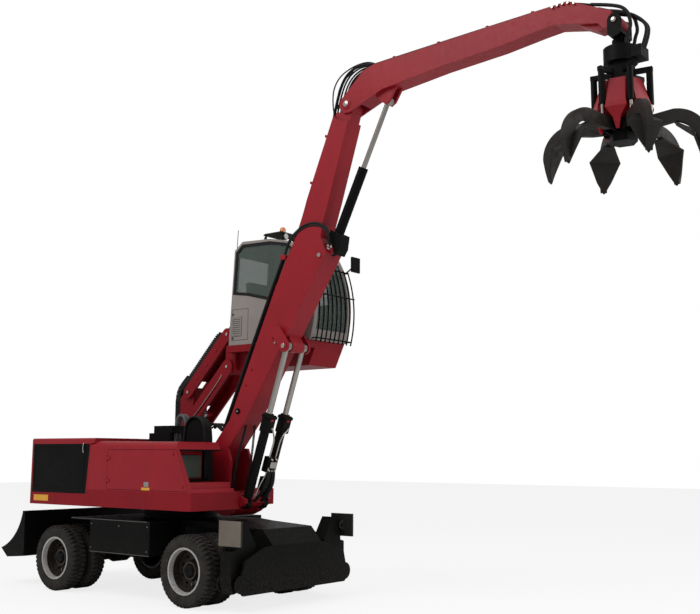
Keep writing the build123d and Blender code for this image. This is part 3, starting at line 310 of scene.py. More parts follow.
@dataclass(frozen=True)
class Paint:
    """Sprayed machine paint with faint orange peel, dust on flats and soft fading.

    Dirt also gathers below splash_top, and the colour inner shows nearer to the middle plane
    than inner_y, both in metres. On the rims inner is painted shade for the wheel's dish; on the
    pads it is their own black back.
    """

    name: str
    colour: Point
    faded: Point
    dust: Point = (0.30, 0.26, 0.23)
    dust_share: float = 0.25
    rough: float = 0.38
    coat: float = 0.25
    coat_rough: float = 0.12
    shine: float = 0.3
    edge: float = 0.006
    splash_foot: float = 0.2
    splash_top: float = 0.0
    splash_gain: float = 1.4
    inner: Point | None = None
    inner_y: float = 0.0
    cloud_scale: float = 1.7
    streak_scale: float = 9.0
    streak_dark: float = 0.62
    grit_scale: float = 26.0
    dust_rough: float = 1.6
    peel_scale: float = 160.0
    peel_height: float = 0.0012

    def build(self) -> bpy.types.Material:
        """Builds the material.

        Returns:
            The material.
        """
        table = NodeTable(self.name)
        cloud = table.ramp(table.noise(self.cloud_scale, 5.0), 0.35, 0.7)
        base = table.blend(cloud, self.colour, self.faded)
        rain = table.noise(self.streak_scale, 6.0, 0.65, (1.0, 1.0, 0.18))
        streak = table.ramp(rain, 0.52, 0.75, 0.0, 0.35)
        base = table.blend(streak, base, tuple(self.streak_dark * c for c in self.colour))
        grit = table.ramp(table.noise(self.grit_scale, 6.0, 0.7), 0.45, 0.72)
        dust = table.math(Sum.TIMES, table.math(Sum.TIMES, grit, table.upward()), self.dust_share)
        if self.splash_top:
            low = table.math(Sum.TIMES, table.below(self.splash_foot, self.splash_top), grit)
            splash = table.math(Sum.TIMES, low, self.dust_share * self.splash_gain)
            dust = table.math(Sum.LARGER, dust, splash)
        if self.inner:
            base = table.blend(table.inward(self.inner_y), base, self.inner)
        table.feed("Base Color", table.blend(dust, base, self.dust))
        rough = table.ramp(table.noise(14.0, 4.0), 0.3, 0.75, self.rough - 0.06, self.rough + 0.14)
        dull = table.math(Sum.TIMES, dust, self.dust_rough)
        table.feed("Roughness", table.math(Sum.LARGER, rough, dull))
        table.fix(Coat_Weight=self.coat, Coat_Roughness=self.coat_rough, Specular_IOR_Level=self.shine)
        table.bump(table.noise(self.peel_scale, 3.0), 0.12, self.peel_height, self.edge)
        return table.material


@dataclass(frozen=True)
class Rubber:
    """Dull rubber or plastic with dust in its pores."""

    name: str
    colour: Point
    dust: Point
    dust_share: float = 0.4
    rough: float = 0.82
    grain: float = 90.0
    grain_height: float = 0.002
    shine: float = 0.2

    def build(self) -> bpy.types.Material:
        """Builds the material.

        Returns:
            The material.
        """
        table = NodeTable(self.name)
        cloud = table.ramp(table.noise(6.0, 6.0, 0.65), 0.38, 0.72)
        share = table.math(Sum.TIMES, cloud, self.dust_share)
        table.feed("Base Color", table.blend(share, self.colour, self.dust))
        rough = table.ramp(table.noise(20.0), 0.3, 0.7, self.rough - 0.1, self.rough + 0.1)
        table.feed("Roughness", rough)
        table.fix(Specular_IOR_Level=self.shine)
        table.bump(table.noise(self.grain, 4.0, 0.7), 0.35, self.grain_height)
        return table.material


@dataclass(frozen=True)
class WornSteel:
    """Bare or mill-scaled steel with scratches and rust in its hollows."""

    name: str
    colour: Point
    rust: Point
    rust_share: float = 0.4
    metallic: float = 0.75
    rough: float = 0.48
    rust_rough: float = 0.35
    scratch_bright: float = 1.7
    shine: float = 0.25
    pit_scale: float = 45.0
    pit_height: float = 0.003
    edge: float = 0.004

    def build(self) -> bpy.types.Material:
        """Builds the material.

        Returns:
            The material.
        """
        table = NodeTable(self.name)
        patch = table.ramp(table.noise(5.0, 8.0, 0.7), 0.48, 0.68)
        share = table.math(Sum.TIMES, patch, self.rust_share)
        grain = table.noise(30.0, 5.0, 0.8, (1.0, 1.0, 0.06))
        scratch = table.ramp(grain, 0.55, 0.7, 0.0, 0.4)
        bright = tuple(min(1.0, self.scratch_bright * c) for c in self.colour)
        base = table.blend(scratch, self.colour, bright)
        table.feed("Base Color", table.blend(share, base, self.rust))
        rusty = min(0.95, self.rough + self.rust_rough)
        table.feed("Roughness", table.ramp(patch, 0.0, 1.0, self.rough, rusty))
        table.fix(Metallic=self.metallic, Specular_IOR_Level=self.shine)
        table.bump(table.noise(self.pit_scale, 6.0, 0.75), 0.3, self.pit_height, self.edge)
        return table.material


@dataclass(frozen=True)
class PolishedRod:
    """Plated cylinder rod with a film of oil."""

    name: str
    colour: Point = (0.34, 0.32, 0.30)
    oil: Point = (0.19, 0.17, 0.15)
    clean_rough: float = 0.20
    oily_rough: float = 0.38

    def build(self) -> bpy.types.Material:
        """Builds the material.

        Returns:
            The material.
        """
        table = NodeTable(self.name)
        film = table.ramp(table.noise(12.0, 5.0, 0.6, (1.0, 1.0, 0.3)), 0.4, 0.75, 0.0, 0.35)
        table.feed("Base Color", table.blend(film, self.colour, self.oil))
        table.feed("Roughness", table.ramp(film, 0.0, 0.35, self.clean_rough, self.oily_rough))
        table.fix(Metallic=1.0)
        table.bump(table.noise(220.0, 2.0), 0.05, 0.0004)
        return table.material


@dataclass(frozen=True)
class TintedGlass:
    """Tinted window glass, thin and a little dusty."""

    name: str
    colour: Point = (0.085, 0.115, 0.100)
    cover: float = 0.46
    bending: float = 1.45
    coat: float = 0.15

    def build(self) -> bpy.types.Material:
        """Builds the material.

        Returns:
            The material.
        """
        table = NodeTable(self.name)
        table.shader.inputs["Base Color"].default_value = (*self.colour, 1.0)
        table.feed("Roughness", table.ramp(table.noise(7.0, 5.0, 0.6), 0.4, 0.8, 0.02, 0.12))
        table.fix(IOR=self.bending, Alpha=self.cover, Coat_Weight=self.coat)
        return table.material


@dataclass(frozen=True)
class Cloth:
    """Woven seat cloth."""

    name: str
    colour: Point
    thread_scale: float = 180.0
    thread_bright: float = 1.8
    rough: float = 0.92
    sheen: float = 0.3

    def build(self) -> bpy.types.Material:
        """Builds the material.

        Returns:
            The material.
        """
        table = NodeTable(self.name)
        weave = table.waves(self.thread_scale, 1.5)
        bright = tuple(self.thread_bright * c for c in self.colour)
        table.feed("Base Color", table.blend(weave, self.colour, bright))
        table.fix(Roughness=self.rough, Sheen_Weight=self.sheen)
        table.bump(weave, 0.3, 0.001)
        return table.material


@dataclass(frozen=True)
class Glow:
    """Clear or coloured lamp lens that shows its own colour."""

    name: str
    colour: Point
    rough: float = 0.15
    coat: float = 0.8
    rib_scale: float = 60.0
    rib_dark: float = 0.7

    def build(self) -> bpy.types.Material:
        """Builds the material.

        Returns:
            The material.
        """
        table = NodeTable(self.name)
        ribs = table.waves(self.rib_scale)
        dark = tuple(self.rib_dark * c for c in self.colour)
        table.feed("Base Color", table.blend(ribs, self.colour, dark))
        table.fix(Roughness=self.rough, Coat_Weight=self.coat)
        table.bump(ribs, 0.2, 0.001)
        return table.material


class Finish(Enum):
    """The machine's finishes, each with what its material is made from."""

    RED_PAINT = Paint(
        "red_paint", (0.275, 0.0075, 0.0150), (0.240, 0.0070, 0.0140), (0.21, 0.12, 0.10), 0.18,
        rough=0.42, coat=0.04, shine=0.20)
    # Painted shade: a darker, shaded copy of the red paint for the platform, the riser and the cab's base,
    # which lie under the cab and the boom.
    DARK_RED_PAINT = Paint(
        "dark_red_paint", (0.225, 0.0060, 0.0120), (0.195, 0.0055, 0.0110), (0.19, 0.12, 0.10), 0.18,
        rough=0.45, coat=0.02, shine=0.12)
    BLACK_PAINT = Paint(
        "black_paint", (0.0026, 0.0026, 0.0024), (0.0045, 0.0043, 0.0040), (0.060, 0.050, 0.040), 0.28,
        rough=0.45, coat=0.0, splash_top=1.0, shine=0.07)
    GREY_PAINT = Paint("grey_paint", (0.255, 0.225, 0.205), (0.225, 0.200, 0.185), rough=0.42, coat=0.15)
    # Painted shade: the rim goes near black nearer to the middle plane than inner_y, which stands for the
    # shade inside the wheel's dish.
    RIM_PAINT = Paint(
        "rim_paint", (0.42, 0.41, 0.40), (0.33, 0.31, 0.29), (0.10, 0.08, 0.06), 0.5,
        rough=0.40, coat=0.1, splash_top=1.2, inner=(0.016, 0.012, 0.010), inner_y=1.272)
    PAD_PAINT = Paint(
        "pad_paint", (0.150, 0.125, 0.100), (0.110, 0.090, 0.072), (0.10, 0.08, 0.06), 0.4,
        rough=0.55, coat=0.0, inner=(0.013, 0.013, 0.012), inner_y=1.2985)
    TYRE_RUBBER = Rubber("tyre_rubber", (0.016, 0.015, 0.014), (0.055, 0.045, 0.037), 0.55)
    BLACK_RUBBER = Rubber("black_rubber", (0.0055, 0.0055, 0.0055), (0.020, 0.018, 0.017), 0.3, 0.6)
    GREY_HOSE = Rubber("grey_hose", (0.10, 0.10, 0.10), (0.06, 0.055, 0.05), 0.35, 0.6)
    BLACK_PLASTIC = Rubber(
        "black_plastic", (0.0075, 0.0075, 0.008), (0.028, 0.026, 0.025), 0.3, 0.55, 140.0)
    CHROME_ROD = PolishedRod("chrome_rod")
    BRIGHT_FITTING = PolishedRod("bright_fitting", (0.44, 0.42, 0.39))
    BARE_STEEL = WornSteel("bare_steel", (0.020, 0.0185, 0.0170), (0.036, 0.021, 0.014), 0.4, 0.35, 0.50)
    EDGE_STEEL = WornSteel("edge_steel", (0.12, 0.115, 0.11), (0.06, 0.04, 0.03), 0.3, 0.5, 0.5)
    CAST_BLOCK = WornSteel("cast_block", (0.06, 0.06, 0.062), (0.05, 0.035, 0.028), 0.3, 0.4, 0.6)
    WINDOW_GLASS = TintedGlass("window_glass")
    SEAT_CLOTH = Cloth("seat_cloth", (0.060, 0.030, 0.030))
    AMBER_LENS = Glow("amber_lens", (0.75, 0.20, 0.02))
    CLEAR_LENS = Glow("clear_lens", (0.75, 0.75, 0.72))
    PLATE_YELLOW = Paint("plate_yellow", (0.68, 0.33, 0.02), (0.60, 0.28, 0.02), rough=0.45, edge=0.001)
    # Painted reflection: the grey-green on the panel at the back of the hood's front bay stands for a
    # greenish reflection seen there.
    PAINTED_REFLECTION_GREEN = Paint("painted_reflection_green", (0.075, 0.10, 0.075), (0.055, 0.075, 0.06), rough=0.5)


class Finishes:
    """All finishes of the machine as materials, built once."""

    def __init__(self) -> None:
        """Builds every material."""
        self.materials = {finish: finish.value.build() for finish in Finish}

    def dress(self, piece: Piece, finish: Finish) -> None:
        """Gives a piece one finish all over."""
        piece.data.materials.clear()
        piece.data.materials.append(self.materials[finish])


class Bench:
    """The modelling steps that the sub-assemblies share."""

    smooth_angle: float = 35.0
    hose_smooth_angle: float = 60.0
    bevel_angle: float = 40.0
    seed_size: float = 0.01
    merge_distance: float = 0.00005
    closing_distance: float = 0.00001
    hose_sides: int = 3
    hose_steps: int = 6
    stud_root: float = 0.002
    chamfer_foot: float = 0.75
    chamfer_top: float = 0.8
    link_bevel: float = 0.004

    def __init__(self, finishes: Finishes) -> None:
        """Keeps the finishes.

        Args:
            finishes: All finishes.
        """
        self.finishes = finishes
        self.count = 0

    @staticmethod
    def clear() -> None:
        """Deselects everything in object mode."""
        if bpy.context.object and bpy.context.object.mode != "OBJECT":
            bpy.ops.object.mode_set(mode="OBJECT")
        bpy.ops.object.select_all(action="DESELECT")

    def pick(self, *pieces: Piece) -> None:
        """Selects only these pieces and makes the first one active.

        Args:
            pieces: The pieces.
        """
        self.clear()
        for piece in pieces:
            piece.select_set(True)
        bpy.context.view_layer.objects.active = pieces[0]

    def chain(self, name: str, points: list[Point], close: bool) -> Piece:
        """Draws a line of edges from point to point by extruding its end.

        Args:
            name: Name of the new object.
            points: Places in metres.
            close: Whether the line returns to its start.

        Returns:
            The object, left in edit mode with all selected.
        """
        self.clear()
        bpy.ops.mesh.primitive_plane_add(size=self.seed_size, location=points[0])
        piece = bpy.context.object
        piece.name = name
        bpy.ops.object.mode_set(mode="EDIT")
        bpy.ops.mesh.select_mode(type="VERT")
        bpy.ops.mesh.select_all(action="SELECT")
        bpy.ops.mesh.merge(type="CENTER")
        for start, end in zip(points, points[1:]):
            self.pull(Vector(end) - Vector(start))
        bpy.ops.mesh.select_all(action="SELECT")
        if close:
            bpy.ops.mesh.edge_face_add()
        return piece

    @staticmethod
    def pull(depth: Vector | Point) -> None:
        """Extrudes what is selected by a vector in metres."""
        bpy.ops.mesh.extrude_region_move(TRANSFORM_OT_translate={"value": Vector(depth)})

    def settle(self, piece: Piece, smooth: float = smooth_angle) -> Piece:
        """Leaves edit mode, cleans the mesh, shades it and puts its place into its mesh.

        Args:
            piece: The object.
            smooth: Faces that meet below this angle in degrees are shaded smooth.

        Returns:
            The same object.
        """
        if piece.mode != "EDIT":
            self.pick(piece)
            bpy.ops.object.mode_set(mode="EDIT")
        bpy.ops.mesh.select_all(action="SELECT")
        bpy.ops.mesh.remove_doubles(threshold=self.merge_distance)
        bpy.ops.mesh.normals_make_consistent(inside=False)
        bpy.ops.object.mode_set(mode="OBJECT")
        self.pick(piece)
        bpy.ops.object.transform_apply(location=True, rotation=True, scale=True)
        bpy.ops.object.shade_smooth_by_angle(angle=math.radians(smooth))
        return piece

    def lathe(self, name: str, profile: Sequence[Flat], centre: Point, axis: Point,
              steps: int = 48) -> Piece:
        """Turns a closed profile of (along the axis, radius) about an axis.

        Args:
            name: Name of the new object.
            profile: Distances along the axis and radii in metres.
            centre: A point on the axis in metres, where the distance is nought.
            axis: The axis's direction.
            steps: Segments round.

        Returns:
            The finished object.
        """
        line = Vector(axis).normalized()
        out = line.orthogonal().normalized()
        points = [tuple(Vector(centre) + line * a + out * r) for a, r in profile]
        piece = self.chain(name, points + [points[0]], False)
        bpy.ops.mesh.remove_doubles(threshold=self.closing_distance)
        bpy.ops.mesh.select_all(action="SELECT")
        bpy.ops.mesh.spin(steps=steps, angle=2 * math.pi, center=centre, axis=tuple(line))
        return self.settle(piece)

    def prism(self, name: str, outline: list[Point], depth: Point, bevel: float = 0.0,
              segments: int = 2) -> Piece:
        """Fills an outline and pulls it out into a solid plate.

        Args:
            name: Name of the new object.
            outline: Places round the outline in metres.
            depth: The pull, as a vector in metres.
            bevel: Width of a bevel on its sharp edges in metres.
            segments: Segments of the bevel.

        Returns:
            The finished object.
        """
        piece = self.chain(name, outline, True)
        self.pull(depth)
        piece = self.settle(piece)
        if bevel:
            self.soften(piece, bevel, segments)
        return piece

    def slab(self, name: str, corners: Sequence[Flat], y: float, depth: float, bevel: float = 0.0,
             segments: int = 2) -> Piece:
        """Makes a plate from its outline in x and z, pulled out across the machine.

        Args:
            name: Name of the new object.
            corners: The x and z round the outline, in millimetres from the slewing axis.
            y: Where the outline lies.
            depth: The pull along y in metres, below nought to the right.
            bevel: Width of a bevel on its sharp edges in metres.
            segments: Segments of the bevel.

        Returns:
            The finished object.
        """
        return self.prism(name, [at(x, y, z) for x, z in corners], (0, depth, 0), bevel, segments)

    def panel(self, name: str, corners: Sequence[Flat], x: float, depth: float, bevel: float = 0.0) -> Piece:
        """Makes a plate from its outline in y and z, pulled out along the machine.

        Args:
            name: Name of the new object.
            corners: The y and z round the outline in millimetres.
            x: Where the outline lies, in millimetres from the slewing axis.
            depth: The pull along x in metres.
            bevel: Width of a bevel on its sharp edges in metres.

        Returns:
            The finished object.
        """
        return self.prism(name, [at(x, y, z) for y, z in corners], (depth, 0, 0), bevel)

    def frame(self, name: str, corners: Sequence[Flat], y: float, width: float, depth: float) -> Piece:
        """Makes a flat frame along an outline in x and z.

        Args:
            name: Name of the new object.
            corners: The x and z round the outer outline, in millimetres from the slewing axis.
            y: Where the outline lies.
            width: Width of the frame, inwards, in metres.
            depth: Its thickness along y in metres, below nought to the right.

        Returns:
            The finished object.
        """
        piece = self.chain(name, [at(x, y, z) for x, z in corners], True)
        bpy.ops.mesh.select_mode(type="FACE")
        bpy.ops.mesh.select_all(action="SELECT")
        bpy.ops.mesh.inset(thickness=width, use_even_offset=True)
        bpy.ops.mesh.delete(type="FACE")
        bpy.ops.mesh.select_all(action="SELECT")
        self.pull((0, depth, 0))
        return self.settle(piece)

    def soften(self, piece: Piece, width: float, segments: int) -> None:
        """Bevels the sharp edges of a piece and applies it.

        Args:
            piece: The object.
            width: Width of the bevel in metres.
            segments: Its segments.
        """
        self.pick(piece)
        step = piece.modifiers.new("bevel", "BEVEL")
        step.width = width
        step.segments = segments
        step.limit_method = "ANGLE"
        step.angle_limit = math.radians(self.bevel_angle)
        bpy.ops.object.modifier_apply(modifier=step.name)
        bpy.ops.object.shade_smooth_by_angle(angle=math.radians(self.smooth_angle))

    def hose(self, name: str, places: list[Point], radius: float) -> Piece:
        """Makes a hose or bar along a smooth curve through control points.

        Args:
            name: Name of the new object.
            places: Control points in millimetres from the slewing axis.
            radius: Radius in metres.

        Returns:
            The finished mesh object.
        """
        self.clear()
        bpy.ops.curve.primitive_nurbs_path_add()
        piece = bpy.context.object
        piece.name = name
        curve = piece.data
        curve.splines.clear()
        spline = curve.splines.new("NURBS")
        spline.points.add(len(places) - 1)
        for knot, place in zip(spline.points, places):
            knot.co = (*at(*place), 1.0)
        spline.order_u = 3
        spline.use_endpoint_u = True
        spline.resolution_u = self.hose_steps
        curve.dimensions = "3D"
        curve.bevel_depth = radius
        curve.bevel_resolution = self.hose_sides
        curve.use_fill_caps = True
        self.pick(piece)
        bpy.ops.object.convert(target="MESH")
        piece = bpy.context.object
        piece.name = name
        return self.settle(piece, self.hose_smooth_angle)

    def copy(self, piece: Piece, move: Matrix) -> Piece:
        """Copies a piece with its own mesh, moved.

        Args:
            piece: The piece to copy.
            move: The move, put into the copy's mesh.

        Returns:
            The copy.
        """
        other = piece.copy()
        other.data = piece.data.copy()
        other.data.transform(move)
        bpy.context.scene.collection.objects.link(other)
        return other

    def ring_of(self, piece: Piece, count: int, centre: Point, start: float = 0.0) -> Piece:
        """Copies a piece round an axis across the machine and joins the copies.

        Args:
            piece: The first one.
            count: How many in the whole ring.
            centre: A point on the axis in metres.
            start: Angle of the first one in degrees.

        Returns:
            The joined object.
        """
        middle = Vector(centre)
        copies = []
        for number in range(count):
            angle = math.radians(start) + 2 * math.pi * number / count
            turn = Matrix.Rotation(angle, 4, Vector(SIDEWAYS))
            move = Matrix.Translation(middle) @ turn @ Matrix.Translation(-middle)
            copies.append(self.copy(piece, move))
        return self.join(piece.name, [piece, *copies], drop_first=True)

    def row_of(self, piece: Piece, count: int, step: Point) -> Piece:
        """Copies a piece along a line and joins the copies with it.

        Args:
            piece: The first one.
            count: How many in all.
            step: The move from one to the next in metres.

        Returns:
            The joined object.
        """
        moves = [Matrix.Translation(Vector(step) * number) for number in range(1, count)]
        return self.join(piece.name, [piece, *[self.copy(piece, move) for move in moves]])

    def join(self, name: str, pieces: list[Piece], drop_first: bool = False) -> Piece:
        """Joins pieces into one object.

        Args:
            name: Name of the joined object.
            pieces: The pieces.
            drop_first: Whether the first is left out and removed.

        Returns:
            The joined object.
        """
        if drop_first:
            bpy.data.objects.remove(pieces[0])
            pieces = pieces[1:]
        if len(pieces) > 1:
            self.pick(*pieces)
            bpy.ops.object.join()
        pieces[0].name = name
        return pieces[0]

    def stud(self, name: str, place: Point, axis: Point, radius: float, height: float,
             steps: int = 24) -> Piece:
        """Makes a round stud with a chamfered end that stands on a face.

        Args:
            name: Name of the new object.
            place: The middle of its foot, in millimetres from the slewing axis.
            axis: The way it points.
            radius: Radius in millimetres.
            height: Height in millimetres.
            steps: Segments round.

        Returns:
            The finished object.
        """
        r, h = radius / 1000, height / 1000
        root, chamfer = -self.stud_root, self.chamfer_foot * h
        profile = [(root, 0.0), (root, r), (chamfer, r), (h, self.chamfer_top * r), (h, 0.0)]
        return self.lathe(name, profile, at(*place), axis, steps)

    def studs(self, name: str, places: list[Point], axis: Point, radius: float, height: float,
              steps: int = 24) -> Piece:
        """Makes like studs at several places, modelled once and copied.

        Args:
            name: Name of the joined object.
            places: The middles of their feet, in millimetres from the slewing axis.
            axis: The way they point.
            radius: Radius in millimetres.
            height: Height in millimetres.
            steps: Segments round.

        Returns:
            The joined object.
        """
        first = self.stud(name, places[0], axis, radius, height, steps)
        moves = [Matrix.Translation(Vector(at(*place)) - Vector(at(*places[0]))) for place in places[1:]]
        return self.join(name, [first, *[self.copy(first, move) for move in moves]])

    def links(self, name: str, path: Sequence[Flat], y: float, size: Point, pitch: float) -> Piece:
        """Makes a run of chain links along a line in a plane along the machine.

        Args:
            name: Name of the joined object.
            path: The x and z of the line's corners in millimetres from the slewing axis.
            y: Their middle in y.
            size: Length, width and height of a link in millimetres.
            pitch: Distance from link to link.

        Returns:
            The joined object.
        """
        length, width, height = (value / 2000 for value in size)
        corners = [(x, -width, z) for x, z in oblong(-length, length, -height, height)]
        first = self.prism(name, corners, (0, 2 * width, 0), self.link_bevel, 1)
        copies, along = [], pitch / 2
        for start, end in zip(path, path[1:]):
            run = Vector(end) - Vector(start)
            turn = Matrix.Rotation(-math.atan2(run.y, run.x), 4, "Y")
            while along < run.length:
                spot = Vector(start) + run * (along / run.length)
                copies.append(self.copy(first, Matrix.Translation(at(spot.x, y, spot.y)) @ turn))
                along += pitch
            along -= run.length
        return self.join(name, [first, *copies], drop_first=True)

    def fit(self, piece: Piece, body: str, finish: Finish) -> None:
        """Dresses a finished piece, lets it ride on a body and reports it.

        Args:
            piece: The object.
            body: The CAD body it moves with.
            finish: Its finish.
        """
        self.finishes.dress(piece, finish)
        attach(piece, body)
        self.count += 1
        LOG.info("piece %s rides on %s, %d faces", piece.name, body, len(piece.data.polygons))

    def fit_all(self, name: str, pieces: list[Piece], body: str, finish: Finish) -> None:
        """Joins pieces into one and fits it as fit does."""
        self.fit(self.join(name, pieces), body, finish)


@dataclass
class CarriedNodes:
    """The CAD nodes that show as they are, each with a finish, and black paint where none is named."""

    finishes: Finishes
    named: dict[Finish, str] = field(default_factory=lambda: {
        Finish.RED_PAINT: "engine_hood side_hood hood_door boom stick grab_covers",
        # painted shade: these red parts get the darker, shaded copy of the red paint
        Finish.DARK_RED_PAINT: "platform riser_lower_arm riser_upper_arm riser_barrel cab_base",
        Finish.GREY_PAINT: "cab_shell cab_door",
        Finish.PAD_PAINT: "stabiliser_pad_left stabiliser_pad_right",
        Finish.CHROME_ROD: "blade_rods lift_rods stick_rod grab_rods riser_rod",
        Finish.CAST_BLOCK: "engine",
        Finish.BLACK_RUBBER: "boom_hoses stick_hoses",
        Finish.BLACK_PLASTIC: "drag_chain roof_lamps",
        Finish.WINDOW_GLASS: "cab_glass door_glass",
        Finish.SEAT_CLOTH: "cab_interior",
    })
    families: dict[str, Finish] = field(default_factory=lambda: {
        "tyres_": Finish.TYRE_RUBBER, "rim_": Finish.RIM_PAINT, "tine_": Finish.BARE_STEEL,
    })

    def build(self, nodes: dict[str, Piece]) -> None:
        """Dresses every CAD node.

        Args:
            nodes: The CAD nodes by name.
        """
        chosen = {name: finish for finish, names in self.named.items() for name in names.split()}
        for name, node in nodes.items():
            finish = chosen.get(name, Finish.BLACK_PAINT)
            for start, family_finish in self.families.items():
                if name.startswith(start):
                    finish = family_finish
            self.finishes.dress(node, finish)


@dataclass
class TyreSet:
    """Twin tyres with block tread, a pair on each rim, with wheel nuts, cap and valves.

    The profiles are in metres: distance from the tyre's middle plane, and radius.
    """

    bench: Bench
    half_wheelbase: float = 1525.0
    axle_z: float = 525.0
    centres: Flat = (1220.0, 830.0)
    half_casing: tuple[Flat, ...] = (
        (0.110, 0.341), (0.132, 0.352), (0.140, 0.385), (0.140, 0.430), (0.134, 0.468), (0.112, 0.497),
        (0.070, 0.504), (0.012, 0.505), (0.008, 0.494))
    lug_outline: tuple[Flat, ...] = (
        (0.016, 0.500), (0.016, 0.5228), (0.102, 0.5228), (0.134, 0.486), (0.136, 0.462), (0.098, 0.496))
    lugs: int = 44
    lug_length: float = 0.040
    lug_slant: float = 0.16
    bead_y: float = 0.1365
    bead_radius: float = 0.404
    nuts: int = 10
    nut_circle: float = 0.225
    nut_y: float = 1140.0
    nut_profile: tuple[Flat, ...] = ((0, 0), (0, 0.019), (0.022, 0.019), (0.030, 0.012), (0.030, 0))
    cap_y: float = 1225.0
    cap_profile: tuple[Flat, ...] = ((0, 0), (0, 0.105), (0.03, 0.085), (0.034, 0))
    valve_radius: float = 0.010
    valve_run: tuple[Point, ...] = ((0, 1160, 250), (30, 1230, 290), (50, 1255, 360))
    valve_spots: tuple[Flat, ...] = ((35, 0), (125, 45))

    def lug(self, name: str, sign: int) -> Piece:
        """Makes one tread block at the top of a tyre, on one half of the tread.

        Args:
            name: Name of the new object.
            sign: 1 for the left half and -1 for the right one.

        Returns:
            The finished object.
        """
        points = [(-0.019 + self.lug_slant * a, sign * a, r) for a, r in self.lug_outline]
        return self.bench.prism(name, points, (self.lug_length, 0, 0), 0.003, 1)

    def tyre(self) -> Piece:
        """Makes one tyre round the origin.

        Returns:
            The finished object.
        """
        origin = (0, 0, 0)
        profile = [*self.half_casing, *[(-a, r) for a, r in reversed(self.half_casing)]]
        groups = [self.bench.lathe("casing", profile, origin, SIDEWAYS, 64)]
        for sign, start in ((1, 0.0), (-1, 180.0 / self.lugs)):
            groups.append(self.bench.ring_of(self.lug(f"lugs_{sign}", sign), self.lugs, origin, start))
        for y in (self.bead_y, -self.bead_y):
            bead = [(y - 0.002, self.bead_radius - 0.004), (y + 0.002, self.bead_radius),
                    (y - 0.002, self.bead_radius + 0.004)]
            groups.append(self.bench.lathe("bead", bead, origin, SIDEWAYS))
        return self.bench.join("tyre", groups)

    def build(self) -> None:
        """Builds one tyre and copies it to its eight places."""
        tyre = self.tyre()
        for end, x in (("front", 1), ("rear", -1)):
            for side in Side:
                corner = f"{end}_{side.name.lower()}"
                spots = [at(x * self.half_wheelbase, side.value * y, self.axle_z) for y in self.centres]
                pair = [self.bench.copy(tyre, Matrix.Translation(Vector(spot))) for spot in spots]
                twin = self.bench.join(f"twin_tyres_{corner}", pair)
                self.bench.fit(twin, f"wheel_{corner}", Finish.TYRE_RUBBER)
                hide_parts(f"tyres_{corner}")
                self.hub(corner, x * self.half_wheelbase, side.value)
        bpy.data.objects.remove(tyre)

    def hub(self, corner: str, x: float, sign: int) -> None:
        """Adds the wheel nuts, the cap and the valves to one rim.

        Args:
            corner: Name of the corner.
            x: The axle's place in millimetres from the slewing axis.
            sign: 1 on the left and -1 on the right.
        """
        body = f"wheel_{corner}"
        centre = at(x, sign * self.nut_y, self.axle_z)
        profile = [(sign * a, r) for a, r in self.nut_profile]
        top = (centre[0], centre[1], centre[2] + self.nut_circle)
        nut = self.bench.lathe(f"nuts_{corner}", profile, top, SIDEWAYS, HEXAGON)
        nuts = self.bench.ring_of(nut, self.nuts, centre)
        valves = [self.bench.hose(f"valve_{corner}", [(x + dx + a, sign * y, z + dz)
                                                      for a, y, z in self.valve_run], self.valve_radius)
                  for dx, dz in self.valve_spots]
        self.bench.fit_all(f"valves_{corner}", valves, body, Finish.BRIGHT_FITTING)
        profile = [(sign * a, r) for a, r in self.cap_profile]
        cap = self.bench.lathe(f"cap_{corner}", profile, at(x, sign * self.cap_y, self.axle_z), SIDEWAYS, 24)
        self.bench.fit_all(f"hub_{corner}", [nuts, cap], body, Finish.BLACK_PAINT)


